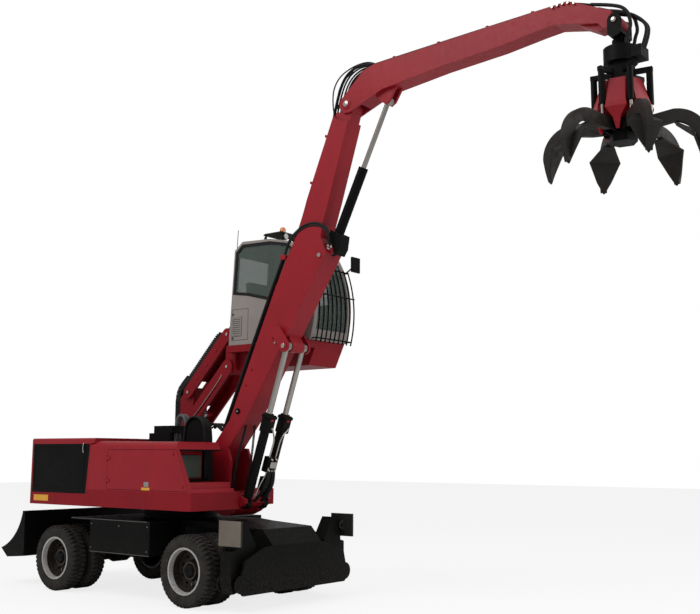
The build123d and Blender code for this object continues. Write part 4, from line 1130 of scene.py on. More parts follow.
@dataclass
class HoseWork:
    """All hoses: those clamped on one body and those that bend over a joint.

    The rows are the shifts in y of like hoses that lie side by side, in millimetres.
    """

    bench: Bench
    full_row: tuple[float, ...] = (-112, -86, -34, 0, 34, 86, 112)
    joint_row: tuple[float, ...] = (-112, -86, -34, 34, 86, 112)
    stick_row: tuple[float, ...] = (-112, -34, 34, 112)
    outer_row: tuple[float, ...] = (-112, 112)
    inner_row: tuple[float, ...] = (-34, 34)
    boom_radius: float = 0.014
    stick_radius: float = 0.013
    nose_radius: float = 0.023
    loop_shifts: Flat = (-60, 60)
    loop_radius: float = 0.011
    air_shifts: Flat = (-45, 30)
    air_radius: float = 0.030
    valve_shifts: tuple[float, ...] = (-72, -36, 0, 36, 72)
    valve_radius: float = 0.019
    lift_shifts: Flat = (-14, 14)
    lift_radius: float = 0.009
    chain_y: float = 590.0
    chain_bend: tuple[Flat, ...] = (
        (-728, 3150), (-726, 3250), (-690, 3345), (-600, 3440), (-470, 3560))
    link_size: Point = (44, 118, 112)
    link_pitch: float = 38.0
    clamp_half_width: float = 135.0
    clamp_bevel: float = 0.004
    clamp_outline: tuple[Flat, ...] = ((-36, 6), (-30, 50), (14, 30), (6, -14))
    clamp_spots: tuple[Flat, ...] = (
        (1350, 3040), (1760, 3930), (2160, 4803), (2520, 5530), (2860, 6376), (3150, 7070))

    def row(self, name: str, points: list[Point], shifts: tuple[float, ...], radius: float) -> Piece:
        """Makes a row of like hoses side by side.

        Args:
            name: Name of the object.
            points: Control points in millimetres from the slewing axis.
            shifts: The y shift of each hose.
            radius: Radius in metres.

        Returns:
            The joined hoses.
        """
        hoses = [self.bench.hose(f"{name}_{number}", [(x, y + shift, z) for x, y, z in points], radius)
                 for number, shift in enumerate(shifts)]
        return self.bench.join(name, hoses)

    def bend(self, piece: Piece, finish: Finish, bodies: tuple[str, str], start: Point, end: Point) -> None:
        """Dresses a piece, puts its place into its mesh and logs the two bodies that it runs between.

        Args:
            piece: The piece.
            finish: Its finish.
            bodies: The bodies at its start and end.
            start: Where it leaves the first body, in millimetres; not used.
            end: Where it meets the second body, in millimetres; not used.
        """
        self.bench.finishes.dress(piece, finish)
        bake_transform(piece)
        self.bench.count += 1
        LOG.info("piece %s bends between %s and %s", piece.name, *bodies)

    def held(self, name: str, body: str, points: list[Point], shifts: tuple[float, ...], radius: float,
             finish: Finish = Finish.BLACK_RUBBER) -> None:
        """Makes a row of hoses that rides on one body.

        Args:
            name: Name of the object.
            body: The body.
            points: Control points in millimetres from the slewing axis.
            shifts: The y shift of each hose.
            radius: Radius in metres.
            finish: The hoses' finish.
        """
        self.bench.fit(self.row(name, points, shifts, radius), body, finish)

    def bent(self, name: str, bodies: tuple[str, str], points: list[Point], shifts: tuple[float, ...],
             radius: float) -> None:
        """Makes a row of hoses that bends between two bodies from its first point to its last.

        Args:
            name: Name of the object.
            bodies: The bodies at its start and end.
            points: Control points in millimetres from the slewing axis.
            shifts: The y shift of each hose.
            radius: Radius in metres.
        """
        piece = self.row(name, points, shifts, radius)
        (x0, _, z0), (x1, _, z1) = points[0], points[-1]
        self.bend(piece, Finish.BLACK_RUBBER, bodies, (x0, 0, z0), (x1, 0, z1))

    def boom(self) -> None:
        """Builds the hoses along the boom's back, at its foot and over the knee."""
        self.held("boom_back_hoses", "boom", level(
            0, (1010, 2590), (1232, 2772), (1700, 3800), (2160, 4803), (2400, 5268), (2648, 5800),
            (2764, 6135), (3030, 6790), (3262, 7330)), self.full_row, self.boom_radius)
        self.bent("boom_foot_hoses", ("upper", "boom"), level(
            0, (640, 2640), (730, 2715), (870, 2700), (1010, 2590)), self.joint_row, self.boom_radius)
        self.bent("knee_hoses", ("boom", "stick"), level(
            0, (3262, 7330), (3330, 7640), (3460, 7960), (3680, 8090), (3900, 8085), (4060, 8046)),
            self.joint_row, self.boom_radius)
        self.bent("knee_loop", ("boom", "stick"), level(
            0, (3262, 7330), (3180, 7700), (3300, 8010), (3620, 8138), (3950, 8136), (4060, 8046)),
            self.loop_shifts, self.loop_radius)

    def stick(self) -> None:
        """Builds the hoses on the stick and round its nose down to the grab's rotator."""
        self.held("stick_top_hoses", "stick", level(
            0, (4060, 8043), (5400, 8088), (6810, 8128), (7215, 8136), (7527, 8010)),
            self.stick_row, self.stick_radius)
        self.bent("nose_hoses", ("stick", "link"), level(
            0, (7527, 8010), (7877, 7916), (8031, 7783), (8040, 7690)), self.outer_row, self.nose_radius)
        self.bent("rotator_hoses", ("link", "rotator"), level(
            0, (8040, 7690), (8063, 7600), (8010, 7500), (7985, 7300)), self.outer_row, self.nose_radius)
        self.bent("nose_wide_hoses", ("stick", "link"), level(
            0, (7600, 7960), (7825, 7850), (8047, 7770), (8120, 7700)), self.inner_row, self.nose_radius)
        self.bent("rotator_wide_hoses", ("link", "rotator"), level(
            0, (8120, 7700), (8215, 7620), (8235, 7480), (8160, 7300)), self.inner_row, self.nose_radius)

    def deck(self) -> None:
        """Builds the chain's bend, the hoses over the deck and those up to the boom's foot."""
        y = self.chain_y
        bend = self.bench.links("chain_bend", self.chain_bend, y, self.link_size, self.link_pitch)
        self.bend(bend, Finish.BLACK_PLASTIC, ("upper", "riser_upper"), (-725, y, 3170), (-430, y, 3515))
        self.held("air_hoses", "upper", level(
            -215, (90, 2420), (100, 2780), (230, 2870), (345, 2760), (380, 2380), (380, 1700)),
            self.air_shifts, self.air_radius, Finish.GREY_HOSE)
        self.held("valve_hoses", "upper", level(
            -330, (440, 1700), (430, 2600), (560, 2790), (690, 2820), (830, 2770), (945, 2600), (950, 1700)),
            self.valve_shifts, self.valve_radius)
        for sign in RIGHT_THEN_LEFT:
            self.bent(f"lift_hoses_{sign}", ("upper", "boom"), [
                (1330, sign * 160, 1700), (1420, sign * 165, 2150), (1500, sign * 120, 2500),
                (1560, sign * 90, 2760)], self.lift_shifts, self.lift_radius)

    def build(self) -> None:
        """Builds every hose and the clamps on the boom's back."""
        self.boom()
        self.stick()
        self.deck()
        half = self.clamp_half_width
        clamps = [self.bench.slab("hose_clamp", [(x + dx, z + dz) for dx, dz in self.clamp_outline],
                                  -half, half / 500, self.clamp_bevel, 1) for x, z in self.clamp_spots]
        self.bench.fit_all("boom_clamps", clamps, "boom", Finish.RED_PAINT)


@dataclass
class CabTrim:
    """Window borders, vent, roof bracket with its lamps, antenna and mirror glass of the cab."""

    bench: Bench
    right_y: float = 380.0
    window: tuple[Flat, ...] = (
        (745, 4905), (1084, 4862), (1524, 4762), (2430, 4550), (2450, 4750), (2205, 5420), (1890, 5632),
        (1540, 5700), (935, 5728), (792, 5610))
    window_middle: Flat = (1600, 5150)
    border_grow: float = 26.0
    border_width: float = 0.050
    door_y: float = 1333.0
    mirror_x: float = 2653.5
    beacon: Flat = (1541, 700)
    lamp_x: float = 1720.0
    lamp_z: float = 5812.0
    lamp_ys: tuple[int, int] = (560, 840)
    lamp_shell: tuple[Flat, ...] = ((-0.06, 0), (-0.06, 0.040), (0, 0.058), (0.020, 0.058), (0.020, 0))
    lamp_glass: tuple[Flat, ...] = ((0, 0), (0, 0.050), (0.025, 0.050), (0.029, 0))
    beacon_foot: tuple[Flat, ...] = ((0, 0), (0, 0.060), (0.022, 0.060), (0.030, 0.048), (0.030, 0))
    beacon_dome: tuple[Flat, ...] = (
        (0, 0), (0, 0.054), (0.050, 0.052), (0.078, 0.044), (0.094, 0.026), (0.098, 0))
    roof_plate: tuple[Flat, ...] = (
        (1290, 5868), (1330, 5896), (1700, 5896), (1740, 5868), (1700, 5872), (1330, 5872))
    leg_width: float = 24.0
    leg_xs: Flat = (1330, 1680)
    leg_ys: Flat = (500, 925)
    slats: int = 9
    slat_rise: float = 0.034

    def borders(self) -> None:
        """Adds the black borders of the side and door windows and the door's handle."""
        middle = Vector(self.window_middle)
        grown = [Vector(v) + (Vector(v) - middle).normalized() * self.border_grow for v in self.window]
        side = self.bench.frame("side_border", grown, self.right_y - 3, self.border_width, 0.010)
        self.bench.fit(side, "cab", Finish.BLACK_RUBBER)
        door = self.bench.frame("door_border", oblong(1215, 2085, 4675, 5375), self.door_y,
                                self.border_width, -0.008)
        self.bench.fit(door, "cab_door", Finish.BLACK_RUBBER)
        handle = self.bench.hose("door_handle", [
            (2030, 1329, 4420), (2030, 1341, 4430), (2030, 1341, 4560), (2030, 1329, 4570)], 0.009)
        self.bench.fit(handle, "cab_door", Finish.BLACK_PLASTIC)

    def vent(self) -> None:
        """Adds the slatted vent on the grey side panel, with its two catches and its seam."""
        y = self.right_y
        rim = self.bench.frame("vent_rim", oblong(722, 932, 4186, 4514), y, 0.020, -0.012)
        slat = self.bench.prism("vent_slats", [
            at(740, y + 1, 4206), at(740, y - 16, 4200), at(740, y - 4, 4222), at(740, y + 1, 4224)],
            (0.174, 0, 0))
        slats = self.bench.row_of(slat, self.slats, (0, 0, self.slat_rise))
        self.bench.fit_all("side_vent", [rim, slats], "cab", Finish.GREY_PAINT)
        spots = level(y, (735, 4150), (735, 4556))
        catches = self.bench.studs("vent_catches", spots, RIGHTWARD, 16, 12, 16)
        self.bench.fit(catches, "cab", Finish.BLACK_PLASTIC)
        seam = self.bench.frame("panel_seam", oblong(706, 1080, 4112, 4640), y, 0.006, -0.0015)
        self.bench.fit(seam, "cab", Finish.BLACK_RUBBER)

    def roof(self) -> None:
        """Adds the bracket on the roof, which takes the place of the plain lamps, and the lenses."""
        bench = self.bench
        parts = [bench.slab("roof_plate", self.roof_plate, 480, 0.48, 0.002, 1)]
        for x in self.leg_xs:
            for y in self.leg_ys:
                parts.append(bench.slab("roof_leg", oblong(x, x + self.leg_width, 5742, 5876), y, 0.016))
        parts.append(bench.lathe("beacon_foot", self.beacon_foot, at(*self.beacon, 5894), UPWARD, 32))
        for y in self.lamp_ys:
            spot = at(self.lamp_x, y, self.lamp_z)
            parts.append(bench.lathe("lamp_housing", self.lamp_shell, spot, FORWARD, 24))
            parts.append(bench.slab("lamp_stem", oblong(1690, 1706, 5800, 5884), y - 9, 0.018))
        parts.append(bench.hose("roof_hook", level(
            560, (1250, 5752), (1250, 5840), (1300, 5880), (1340, 5884)), 0.012))
        bracket = bench.join("roof_bracket", parts)
        bench.fit(bracket, "cab", Finish.BLACK_PLASTIC)
        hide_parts("roof_lamps")
        lens = bench.lathe("beacon_lens", self.beacon_dome, at(*self.beacon, 5923), UPWARD, 32)
        bench.fit(lens, "cab", Finish.AMBER_LENS)
        for y in self.lamp_ys:
            spot = at(self.lamp_x, y, self.lamp_z)
            glass = bench.lathe(f"lamp_glass_{y}", self.lamp_glass, spot, FORWARD, 24)
            bench.fit(glass, "cab", Finish.CLEAR_LENS)

    def build(self) -> None:
        """Builds all trim of the cab."""
        self.borders()
        self.vent()
        self.roof()
        whip = self.bench.hose("antenna", [
            (760, 430, 5665), (748, 425, 5700), (758, 425, 5860), (770, 425, 6020)], 0.006)
        self.bench.fit(whip, "cab", Finish.BLACK_PLASTIC)
        glass = self.bench.panel("mirror_glass", oblong(1152, 1338, 5212, 5438), self.mirror_x, -0.003)
        self.bench.fit(glass, "cab", Finish.CHROME_ROD)


@dataclass
class HoodTrim:
    """Borders, catches, plates and the open bay of the hoods."""

    bench: Bench
    half_width: float = 1330.0
    bay_y: float = -1295.0
    plate_thickness: float = 0.003
    plate_gap: float = 0.5
    border: tuple[Flat, ...] = ((-2205, 1640), (-905, 1640), (-860, 2325), (-2205, 2325))
    border_width: float = 0.014
    border_thickness: float = 0.003
    screw_xs: tuple[float, ...] = (-2170, -1550, -930)
    screw_zs: Flat = (1675, 2290)
    lock_profile: tuple[Flat, ...] = ((0, 0), (0, 0.022), (0.010, 0.018), (0.010, 0))
    bay_pipe: tuple[Point, ...] = ((0, -1130, 2470), (8, -1150, 2380), (30, -1190, 2200), (80, -1200, 1780))
    bay_pipe_xs: Flat = (1120, 1160)

    def seams(self) -> None:
        """Adds the pressed border and the screws of the plain panels on the rear hood's sides."""
        spots = [(x, z) for x in self.screw_xs for z in self.screw_zs]
        for side in Side:
            sign = side.value
            y = sign * self.half_width
            name = f"panel_border_{side.name.lower()}"
            border = self.bench.frame(name, self.border, y, self.border_width,
                                      sign * self.border_thickness)
            screws = self.bench.studs("panel_screws", level(y, *spots), (0, sign, 0), 9, 5, 12)
            self.bench.fit_all(name, [border, screws], "upper", Finish.BLACK_PAINT)

    def plates(self) -> None:
        """Adds the blank plates, the handle, the catch and the lock on the right side."""
        y = -self.half_width
        for name, edges, body, finish in (
                ("left_plate", (-2185, -1790, 1436, 1534), "upper", Finish.PLATE_YELLOW),
                ("mid_plate", (530, 715, 1664, 1706), "hood_door", Finish.PLATE_YELLOW),
                ("pale_plate", (580, 690, 1716, 1790), "hood_door", Finish.GREY_PAINT)):
            plate = self.bench.slab(name, oblong(*edges), y - self.plate_gap, -self.plate_thickness)
            self.bench.fit(plate, body, finish)
        handle = self.bench.hose("panel_handle", [
            (-905, y, 2235), (-905, y - 17, 2245), (-905, y - 17, 2375), (-905, y, 2385)], 0.009)
        self.bench.fit(handle, "upper", Finish.BRIGHT_FITTING)
        catch = self.bench.slab("door_catch", oblong(1175, 1235, 2195, 2240), y, -0.014, 0.005)
        self.bench.fit(catch, "hood_door", Finish.RED_PAINT)
        lock = self.bench.lathe("door_lock", self.lock_profile, at(1440, y, 1730), RIGHTWARD, 20)
        self.bench.fit(lock, "hood_door", Finish.RED_PAINT)

    def bay(self) -> None:
        """Adds the bay's panel, whose grey-green is a painted reflection, its ledges and the pipes in the
        hood's open front bay.
        """
        bench, y = self.bench, self.bay_y
        # painted reflection: the panel's grey-green stands for the greenish reflection in the bay
        bench.fit(bench.panel("bay_panel", oblong(-1000, -470, 1850, 2200), 905, 0.02, 0.004), "upper",
                  Finish.PAINTED_REFLECTION_GREEN)
        ledge = bench.slab("bay_ledge", oblong(925, 1050, 1800, 1835), -1080, 0.66, 0.004)
        band = bench.slab("roof_band", oblong(925, 1290, 2262, 2318), -1250, 0.86, 0.004)
        bench.fit_all("bay_fittings", [ledge, band], "upper", Finish.BLACK_PAINT)
        box = bench.slab("bay_box", [(960, 1606), (1560, 1606), (1540, 1792), (960, 1792)], y, 0.86, 0.012)
        bench.fit(box, "upper", Finish.RED_PAINT)
        plate = bench.slab("bay_plate", oblong(1360, 1500, 1668, 1708), y - self.plate_gap,
                           -self.plate_thickness)
        bench.fit(plate, "upper", Finish.PLATE_YELLOW)
        pipes = [bench.hose("bay_pipe", [(x + dx, y, z) for dx, y, z in self.bay_pipe], 0.010)
                 for x in self.bay_pipe_xs]
        bench.fit_all("bay_pipes", pipes, "upper", Finish.BLACK_RUBBER)

    def build(self) -> None:
        """Builds all trim of the hoods."""
        self.seams()
        self.plates()
        self.bay()


@dataclass(frozen=True)
class PinEnd:
    """A joint's pin whose two ends show, with a red collar under each where its radius isn't nought."""

    name: str
    body: str
    place: Point
    radius: float
    collar: float


@dataclass
class ArmTrim:
    """Pins, studs, fittings and side hoses of the boom and the stick."""

    bench: Bench
    boom_y: float = 190.0
    clamp_half_width: float = 135.0
    clamp_bevel: float = 0.004
    clamp_outline: tuple[Flat, ...] = ((-24, -6), (24, -5), (20, 22), (-20, 21))
    clamp_spots: tuple[Flat, ...] = ((4420, 8054), (5200, 8081), (6000, 8104), (6700, 8124))
    union_spots: tuple[Flat, ...] = ((7010, 8098), (7085, 8102), (7160, 8106), (7235, 8098), (7320, 8070))
    union_profile: tuple[Flat, ...] = ((-0.03, 0), (-0.03, 0.018), (0.03, 0.018), (0.03, 0))
    union_ys: tuple[float, ...] = (-112, -34, 34, 112)
    stud_spots: tuple[Flat, ...] = ((1716, 3536), (1596, 3297), (2150, 4010))
    ring_spot: Flat = (1440, 2890)
    ring_profile: tuple[Flat, ...] = ((0, 0.026), (0, 0.046), (0.016, 0.046), (0.018, 0.026))
    collar_height: float = 12.0
    pin_height: float = 14.0
    pin_ends: tuple[PinEnd, ...] = (
        PinEnd("boom_foot", "boom", (860, 190, 2080), 42.9, 78),
        PinEnd("lift_eye", "boom", (2445, 265, 3865), 34.1, 62),
        PinEnd("stick_pivot", "stick", (3547, 150, 7515), 45.1, 82),
        PinEnd("stick_tip", "stick", (7860, 190, 7690), 34.0, 0))
    edge_run: tuple[Flat, ...] = ((1125, 2640), (1210, 2830), (1655, 3822), (2112, 4824), (2330, 5270))
    arch_run: tuple[Point, ...] = (
        (2330, -150, 5270), (2400, -178, 5440), (2520, -186, 5590), (2760, -188, 5735),
        (3020, -188, 5735), (3205, -188, 5640), (3262, -186, 5470), (3235, -150, 5345))

    def pins(self) -> None:
        """Adds the pin ends with their collars at each joint, on both sides."""
        for end in self.pin_ends:
            x, y, z = end.place
            if end.collar:
                rings = [self.bench.stud(f"{end.name}_collar", (x, sign * y, z), (0, sign, 0), end.collar,
                                         self.collar_height, 32) for sign in RIGHT_THEN_LEFT]
                self.bench.fit_all(f"{end.name}_collars", rings, end.body, Finish.RED_PAINT)
                y += self.collar_height
            pins = [self.bench.stud(f"{end.name}_pin", (x, sign * y, z), (0, sign, 0), end.radius,
                                    self.pin_height)
                    for sign in RIGHT_THEN_LEFT]
            self.bench.fit_all(f"{end.name}_pins", pins, end.body, Finish.BRIGHT_FITTING)

    def studs(self) -> None:
        """Adds the studs and the lifting eyes on the boom's sides."""
        for sign in RIGHT_THEN_LEFT:
            y, out = sign * self.boom_y, (0, sign, 0)
            low = self.bench.studs(f"boom_studs_{sign}", level(y, *self.stud_spots), out, 16, 20, 16)
            self.bench.fit(low, "boom", Finish.RED_PAINT)
            spot = level(y, self.ring_spot)[0]
            ring = self.bench.lathe(f"boom_ring_{sign}", self.ring_profile, at(*spot), out, 32)
            self.bench.fit(ring, "boom", Finish.BLACK_PAINT)
            knob = self.bench.stud(f"boom_knob_{sign}", spot, out, 18, 24, 20)
            self.bench.fit(knob, "boom", Finish.BRIGHT_FITTING)

    def hoses(self) -> None:
        """Adds the hoses that follow the boom's rear edge and arch over its right side."""
        bench = self.bench
        run = [bench.hose(f"boom_edge_{shift}", level(-150 + shift, *self.edge_run), 0.019)
               for shift in (-22, 24)]
        bench.fit_all("boom_edge_hoses", run, "boom", Finish.BLACK_RUBBER)
        over = [bench.hose(f"boom_arch_{shift}", [(x, y, z + shift) for x, y, z in self.arch_run], 0.017)
                for shift in (0, -38)]
        bench.fit_all("boom_arch_hoses", over, "boom", Finish.BLACK_RUBBER)
        clamp = bench.slab("edge_clamp", [(2280, 5236), (2290, 5310), (2400, 5300), (2390, 5226)],
                           -200, 0.09, 0.006)
        bench.fit(clamp, "boom", Finish.RED_PAINT)
        fittings = [bench.stud("stick_foot_pin", (3075, sign * self.boom_y, 5215), (0, sign, 0), 34, 26)
                    for sign in RIGHT_THEN_LEFT]
        for x, z, radius, height in ((2215, 3930, 20, 26), (2288, 3955, 16, 22)):
            fittings.append(bench.stud("eye_port", (x, -self.boom_y, z), RIGHTWARD, radius, height,
                                       HEXAGON))
        bench.fit_all("side_fittings", fittings, "boom", Finish.BRIGHT_FITTING)
        ends = bench.studs("arch_fittings", level(-162, (3235, 5345), (3235, 5305), (3290, 5320)),
                           RIGHTWARD, 20, 30, HEXAGON)
        bench.fit(ends, "boom", Finish.BRIGHT_FITTING)

    def stick_top(self) -> None:
        """Adds the clamps and pale fittings on the stick's top plate."""
        half = self.clamp_half_width
        clamps = [self.bench.slab("stick_clamp", [(x + dx, z + dz) for dx, dz in self.clamp_outline],
                                  -half, half / 500, self.clamp_bevel, 1) for x, z in self.clamp_spots]
        self.bench.fit_all("stick_clamps", clamps, "stick", Finish.RED_PAINT)
        places = level(-148, *self.union_spots)
        side = self.bench.studs("edge_unions", places, RIGHTWARD, 20, 34, HEXAGON)
        self.bench.fit(side, "stick", Finish.BRIGHT_FITTING)
        unions = [self.bench.lathe("hose_union", self.union_profile, at(7060, y, 8112), FORWARD, HEXAGON)
                  for y in self.union_ys]
        self.bench.fit_all("stick_unions", unions, "stick", Finish.BRIGHT_FITTING)

    def build(self) -> None:
        """Builds all trim of the boom and the stick."""
        self.pins()
        self.studs()
        self.hoses()
        self.stick_top()


@dataclass
class LiftTrim:
    """Valve blocks, collars, pipes and hoses on the two lift cylinders' barrels.

    Places on a barrel are given as (along, ahead, y): millimetres up from its foot, ahead of its
    axis, and across the machine.
    """

    bench: Bench
    foot: Flat = (1650.0, 1450.0)
    eye: Flat = (2445.0, 3865.0)
    barrel_y: float = 185.0
    port_axis: Point = (0.95, 0, -0.31)
    loop_run: tuple[Point, ...] = (
        (600, 170, 45), (470, 205, 55), (330, 190, 70), (180, 120, 80), (60, 60, 86))

    def spot(self, along: float, ahead: float, y: float) -> Point:
        """Gives a place from one on a barrel.

        Args:
            along: Distance up the barrel.
            ahead: Distance ahead of its axis.
            y: Place across the machine.

        Returns:
            The place in millimetres from the slewing axis.
        """
        line = Vector((self.eye[0] - self.foot[0], self.eye[1] - self.foot[1])).normalized()
        return (self.foot[0] + line.x * along + line.y * ahead, y,
                self.foot[1] + line.y * along - line.x * ahead)

    def block(self, name: str, along: Flat, ahead: Flat, across: Flat, bevel: float) -> Piece:
        """Makes a block that lies along the barrels.

        Args:
            name: Name of the new object.
            along: Its range up the barrels in millimetres.
            ahead: Its range ahead of their axis.
            across: Its range in y.
            bevel: Width of its bevels in metres.

        Returns:
            The finished object.
        """
        corners = [at(*self.spot(a, f, across[0])) for a, f in (
            (along[0], ahead[0]), (along[0], ahead[1]), (along[1], ahead[1]), (along[1], ahead[0]))]
        return self.bench.prism(name, corners, (0.0, (across[1] - across[0]) / 1000, 0.0), bevel)

    def pipe(self, name: str, radius: float, *spots: Point) -> Piece:
        """Makes a pipe or hose through places on a barrel."""
        return self.bench.hose(name, [self.spot(*spot) for spot in spots], radius)

    def port(self, name: str, spot: Point, radius: float, height: float) -> Piece:
        """Makes a hexagonal fitting that points ahead from a place on a barrel."""
        return self.bench.stud(name, self.spot(*spot), self.port_axis, radius, height, HEXAGON)

    def build(self) -> None:
        """Builds the collars, the valve blocks, the pipes and the hoses."""
        black, pale, red, hoses = [], [], [], []
        for sign in RIGHT_THEN_LEFT:
            y, inner = sign * self.barrel_y, sign * 70
            black.append(self.block("collar", (1170, 1452), (-60, 92), (y - 82, y + 82), 0.012))
            black.append(self.block("collar_lip", (1395, 1440), (-70, 104), (y - 90, y + 90), 0.006))
            red.append(self.block("collar_tag", (1360, 1392), (92, 104), (y - 40, y + 22), 0.003))
            pale.append(self.port("collar_port", (1250, 92, y + 30), 24, 26))
            pale.append(self.pipe("lift_pipe", 0.012, (1250, 112, y + 30), (1180, 128, sign * 120),
                                  (1080, 130, inner), (900, 128, inner), (780, 120, inner)))
            pale.append(self.pipe("lift_line", 0.010, (640, 150, sign * 60), (520, 140, sign * 75),
                                  (380, 120, sign * 118), (180, 96, sign * 140)))
            for shift in (-26, 0, 26):
                spots = [(a, f, sign * y + shift) for a, f, y in self.loop_run]
                hoses.append(self.pipe("valve_loop", 0.012, *spots))
        black.append(self.block("valve_body", (560, 800), (40, 150), (-96, 96), 0.010))
        black.append(self.block("valve_foot", (250, 470), (30, 110), (-72, 72), 0.010))
        pale.append(self.block("valve_plate", (640, 740), (150, 188), (-66, 66), 0.008))
        pale += [self.port("valve_port", (a, 150, y), 21, 34)
                 for a, y in ((600, -60), (600, 0), (600, 60), (775, -50), (775, 50))]
        pale += [self.port("foot_port", (a, 110, y), 18, 28) for a, y in ((300, -40), (300, 40), (420, 0))]
        for name, parts, finish in (
                ("lift_blocks", black, Finish.BLACK_PAINT), ("lift_pipes", pale, Finish.BRIGHT_FITTING),
                ("lift_tags", red, Finish.RED_PAINT), ("lift_valve_hoses", hoses, Finish.BLACK_RUBBER)):
            self.bench.fit_all(name, parts, "lift_barrels", finish)


@dataclass
class RiserTrim:
    """Chain links, pin ends, studs and a pale rod of the cab riser, whose arms run from foot to head; the
    rod is a painted highlight.

    The chain's run is given as the distance along the upper arm and above its middle line, and the
    pale rod's as the distance along the lower arm, below its middle line, and y.
    """

    bench: Bench
    upper: tuple[Flat, Flat] = ((-431.0, 3291.0), (490.0, 4250.0))
    lower: tuple[Flat, Flat] = ((-414.0, 2736.0), (507.0, 3695.0))
    middle_y: float = 700.0
    pin_reach: float = 225.0
    side_y: float = 480.0
    chain_y: float = 590.0
    link_size: Point = (28, 120, 136)
    link_pitch: float = 42.0
    chain_run: tuple[Flat, ...] = ((110, 168), (1080, 168), (1150, 160), (1215, 138))
    chain_leg: tuple[Flat, ...] = ((-727, 2440), (-727, 3150))
    highlight_run: tuple[Point, ...] = (
        (130, 10, 472), (260, 40, 468), (700, 44, 468), (1120, 44, 468), (1160, 10, 474))

    @staticmethod
    def on_arm(arm: tuple[Flat, Flat], along: float, above: float) -> Flat:
        """Gives a place on an arm.

        Args:
            arm: The arm's foot and head.
            along: Distance from its foot.
            above: Distance above its middle line.

        Returns:
            The place's x and z.
        """
        (x, z), line = arm[0], (Vector(arm[1]) - Vector(arm[0])).normalized()
        return (x + line.x * along - line.y * above, z + line.y * along + line.x * above)

    def chain(self) -> None:
        """Adds the drag chain's links on the arm and on its leg."""
        run = [self.on_arm(self.upper, *spot) for spot in self.chain_run]
        for name, path, body in (("chain_links", run, "riser_upper"),
                                 ("chain_leg_links", self.chain_leg, "upper")):
            links = self.bench.links(name, path, self.chain_y, self.link_size, self.link_pitch)
            self.bench.fit(links, body, Finish.BLACK_PLASTIC)

    def pins(self) -> None:
        """Adds the pin ends and small red studs on the riser's sides."""
        for name, end, body in (("riser_foot", 0, "upper"), ("riser_head", 1, "cab")):
            for sign in RIGHT_THEN_LEFT:
                places = level(self.middle_y + sign * self.pin_reach, self.upper[end], self.lower[end])
                pins = self.bench.studs(f"{name}_pins_{sign}", places, (0, sign, 0), 26, 10)
                self.bench.fit(pins, body, Finish.BRIGHT_FITTING)
        places = level(self.side_y, *[self.on_arm(self.upper, along, 0) for along in (330, 640, 960)])
        self.bench.fit(self.bench.studs("riser_studs", places, RIGHTWARD, 24, 14), "riser_upper",
                       Finish.RED_PAINT)

    def pipe(self) -> None:
        """Adds a thin pale rod on the lower arm's right face, a painted highlight along that arm's edge."""
        places = []
        for along, below, y in self.highlight_run:
            places += level(y, self.on_arm(self.lower, along, -below))
        self.bench.fit(self.bench.hose("riser_highlight_rod", places, 0.010), "riser_lower", Finish.BRIGHT_FITTING)

    def build(self) -> None:
        """Builds all trim of the riser."""
        self.chain()
        self.pins()
        # painted highlight: a thin pale rod along the lower arm's edge
        self.pipe()


@dataclass
class ChassisTrim:
    """Lips, bolts and the front seam of the chassis and its side boxes."""

    bench: Bench
    side_y: float = 1250.0
    front_x: float = 2395.0
    lips: tuple[tuple[float, float, float, float], ...] = (
        (-1250, 600, 1176, 0.012), (-758, 658, 672, 0.010))
    bolt_spots: tuple[Flat, ...] = ((-720, 1110), (-50, 1100), (610, 1110), (-720, 740), (610, 740))
    front_bolt_ys: tuple[float, ...] = (-860, -780, -700, -420, -60, 0, 390, 470, 800)
    front_bolt_z: float = 812.0

    def lip(self, sign: int, start: float, end: float, z: float, height: float) -> Piece:
        """Makes a lip along a side box.

        Args:
            sign: 1 on the left and -1 on the right.
            start: Its rear end in x.
            end: Its front end in x.
            z: Its foot.
            height: Its height in metres.

        Returns:
            The finished object.
        """
        y = sign * self.side_y
        rear, front = y - sign * 6, y + sign * 5
        corners = [at(start, rear, z), at(end, rear, z), at(end, front, z), at(start, front, z)]
        return self.bench.prism("lip", corners, (0, 0, height), 0.002, 1)

    def build(self) -> None:
        """Builds all trim of the chassis."""
        for side in Side:
            tag = side.name.lower()
            lips = [self.lip(side.value, *row) for row in self.lips]
            self.bench.fit_all(f"box_lips_{tag}", lips, "chassis", Finish.EDGE_STEEL)
            bolts = self.bench.studs(f"box_bolts_{tag}", level(side.value * self.side_y, *self.bolt_spots),
                                     (0, side.value, 0), 15, 14, HEXAGON)
            self.bench.fit(bolts, "chassis", Finish.EDGE_STEEL)
        places = [(self.front_x, y, self.front_bolt_z) for y in self.front_bolt_ys]
        self.bench.fit(self.bench.studs("front_bolts", places, FORWARD, 13, 9, HEXAGON), "chassis",
                       Finish.BRIGHT_FITTING)
        seam = self.bench.panel("front_seam", oblong(-880, -500, 770, 778), self.front_x - 1, 0.006)
        self.bench.fit(seam, "chassis", Finish.EDGE_STEEL)


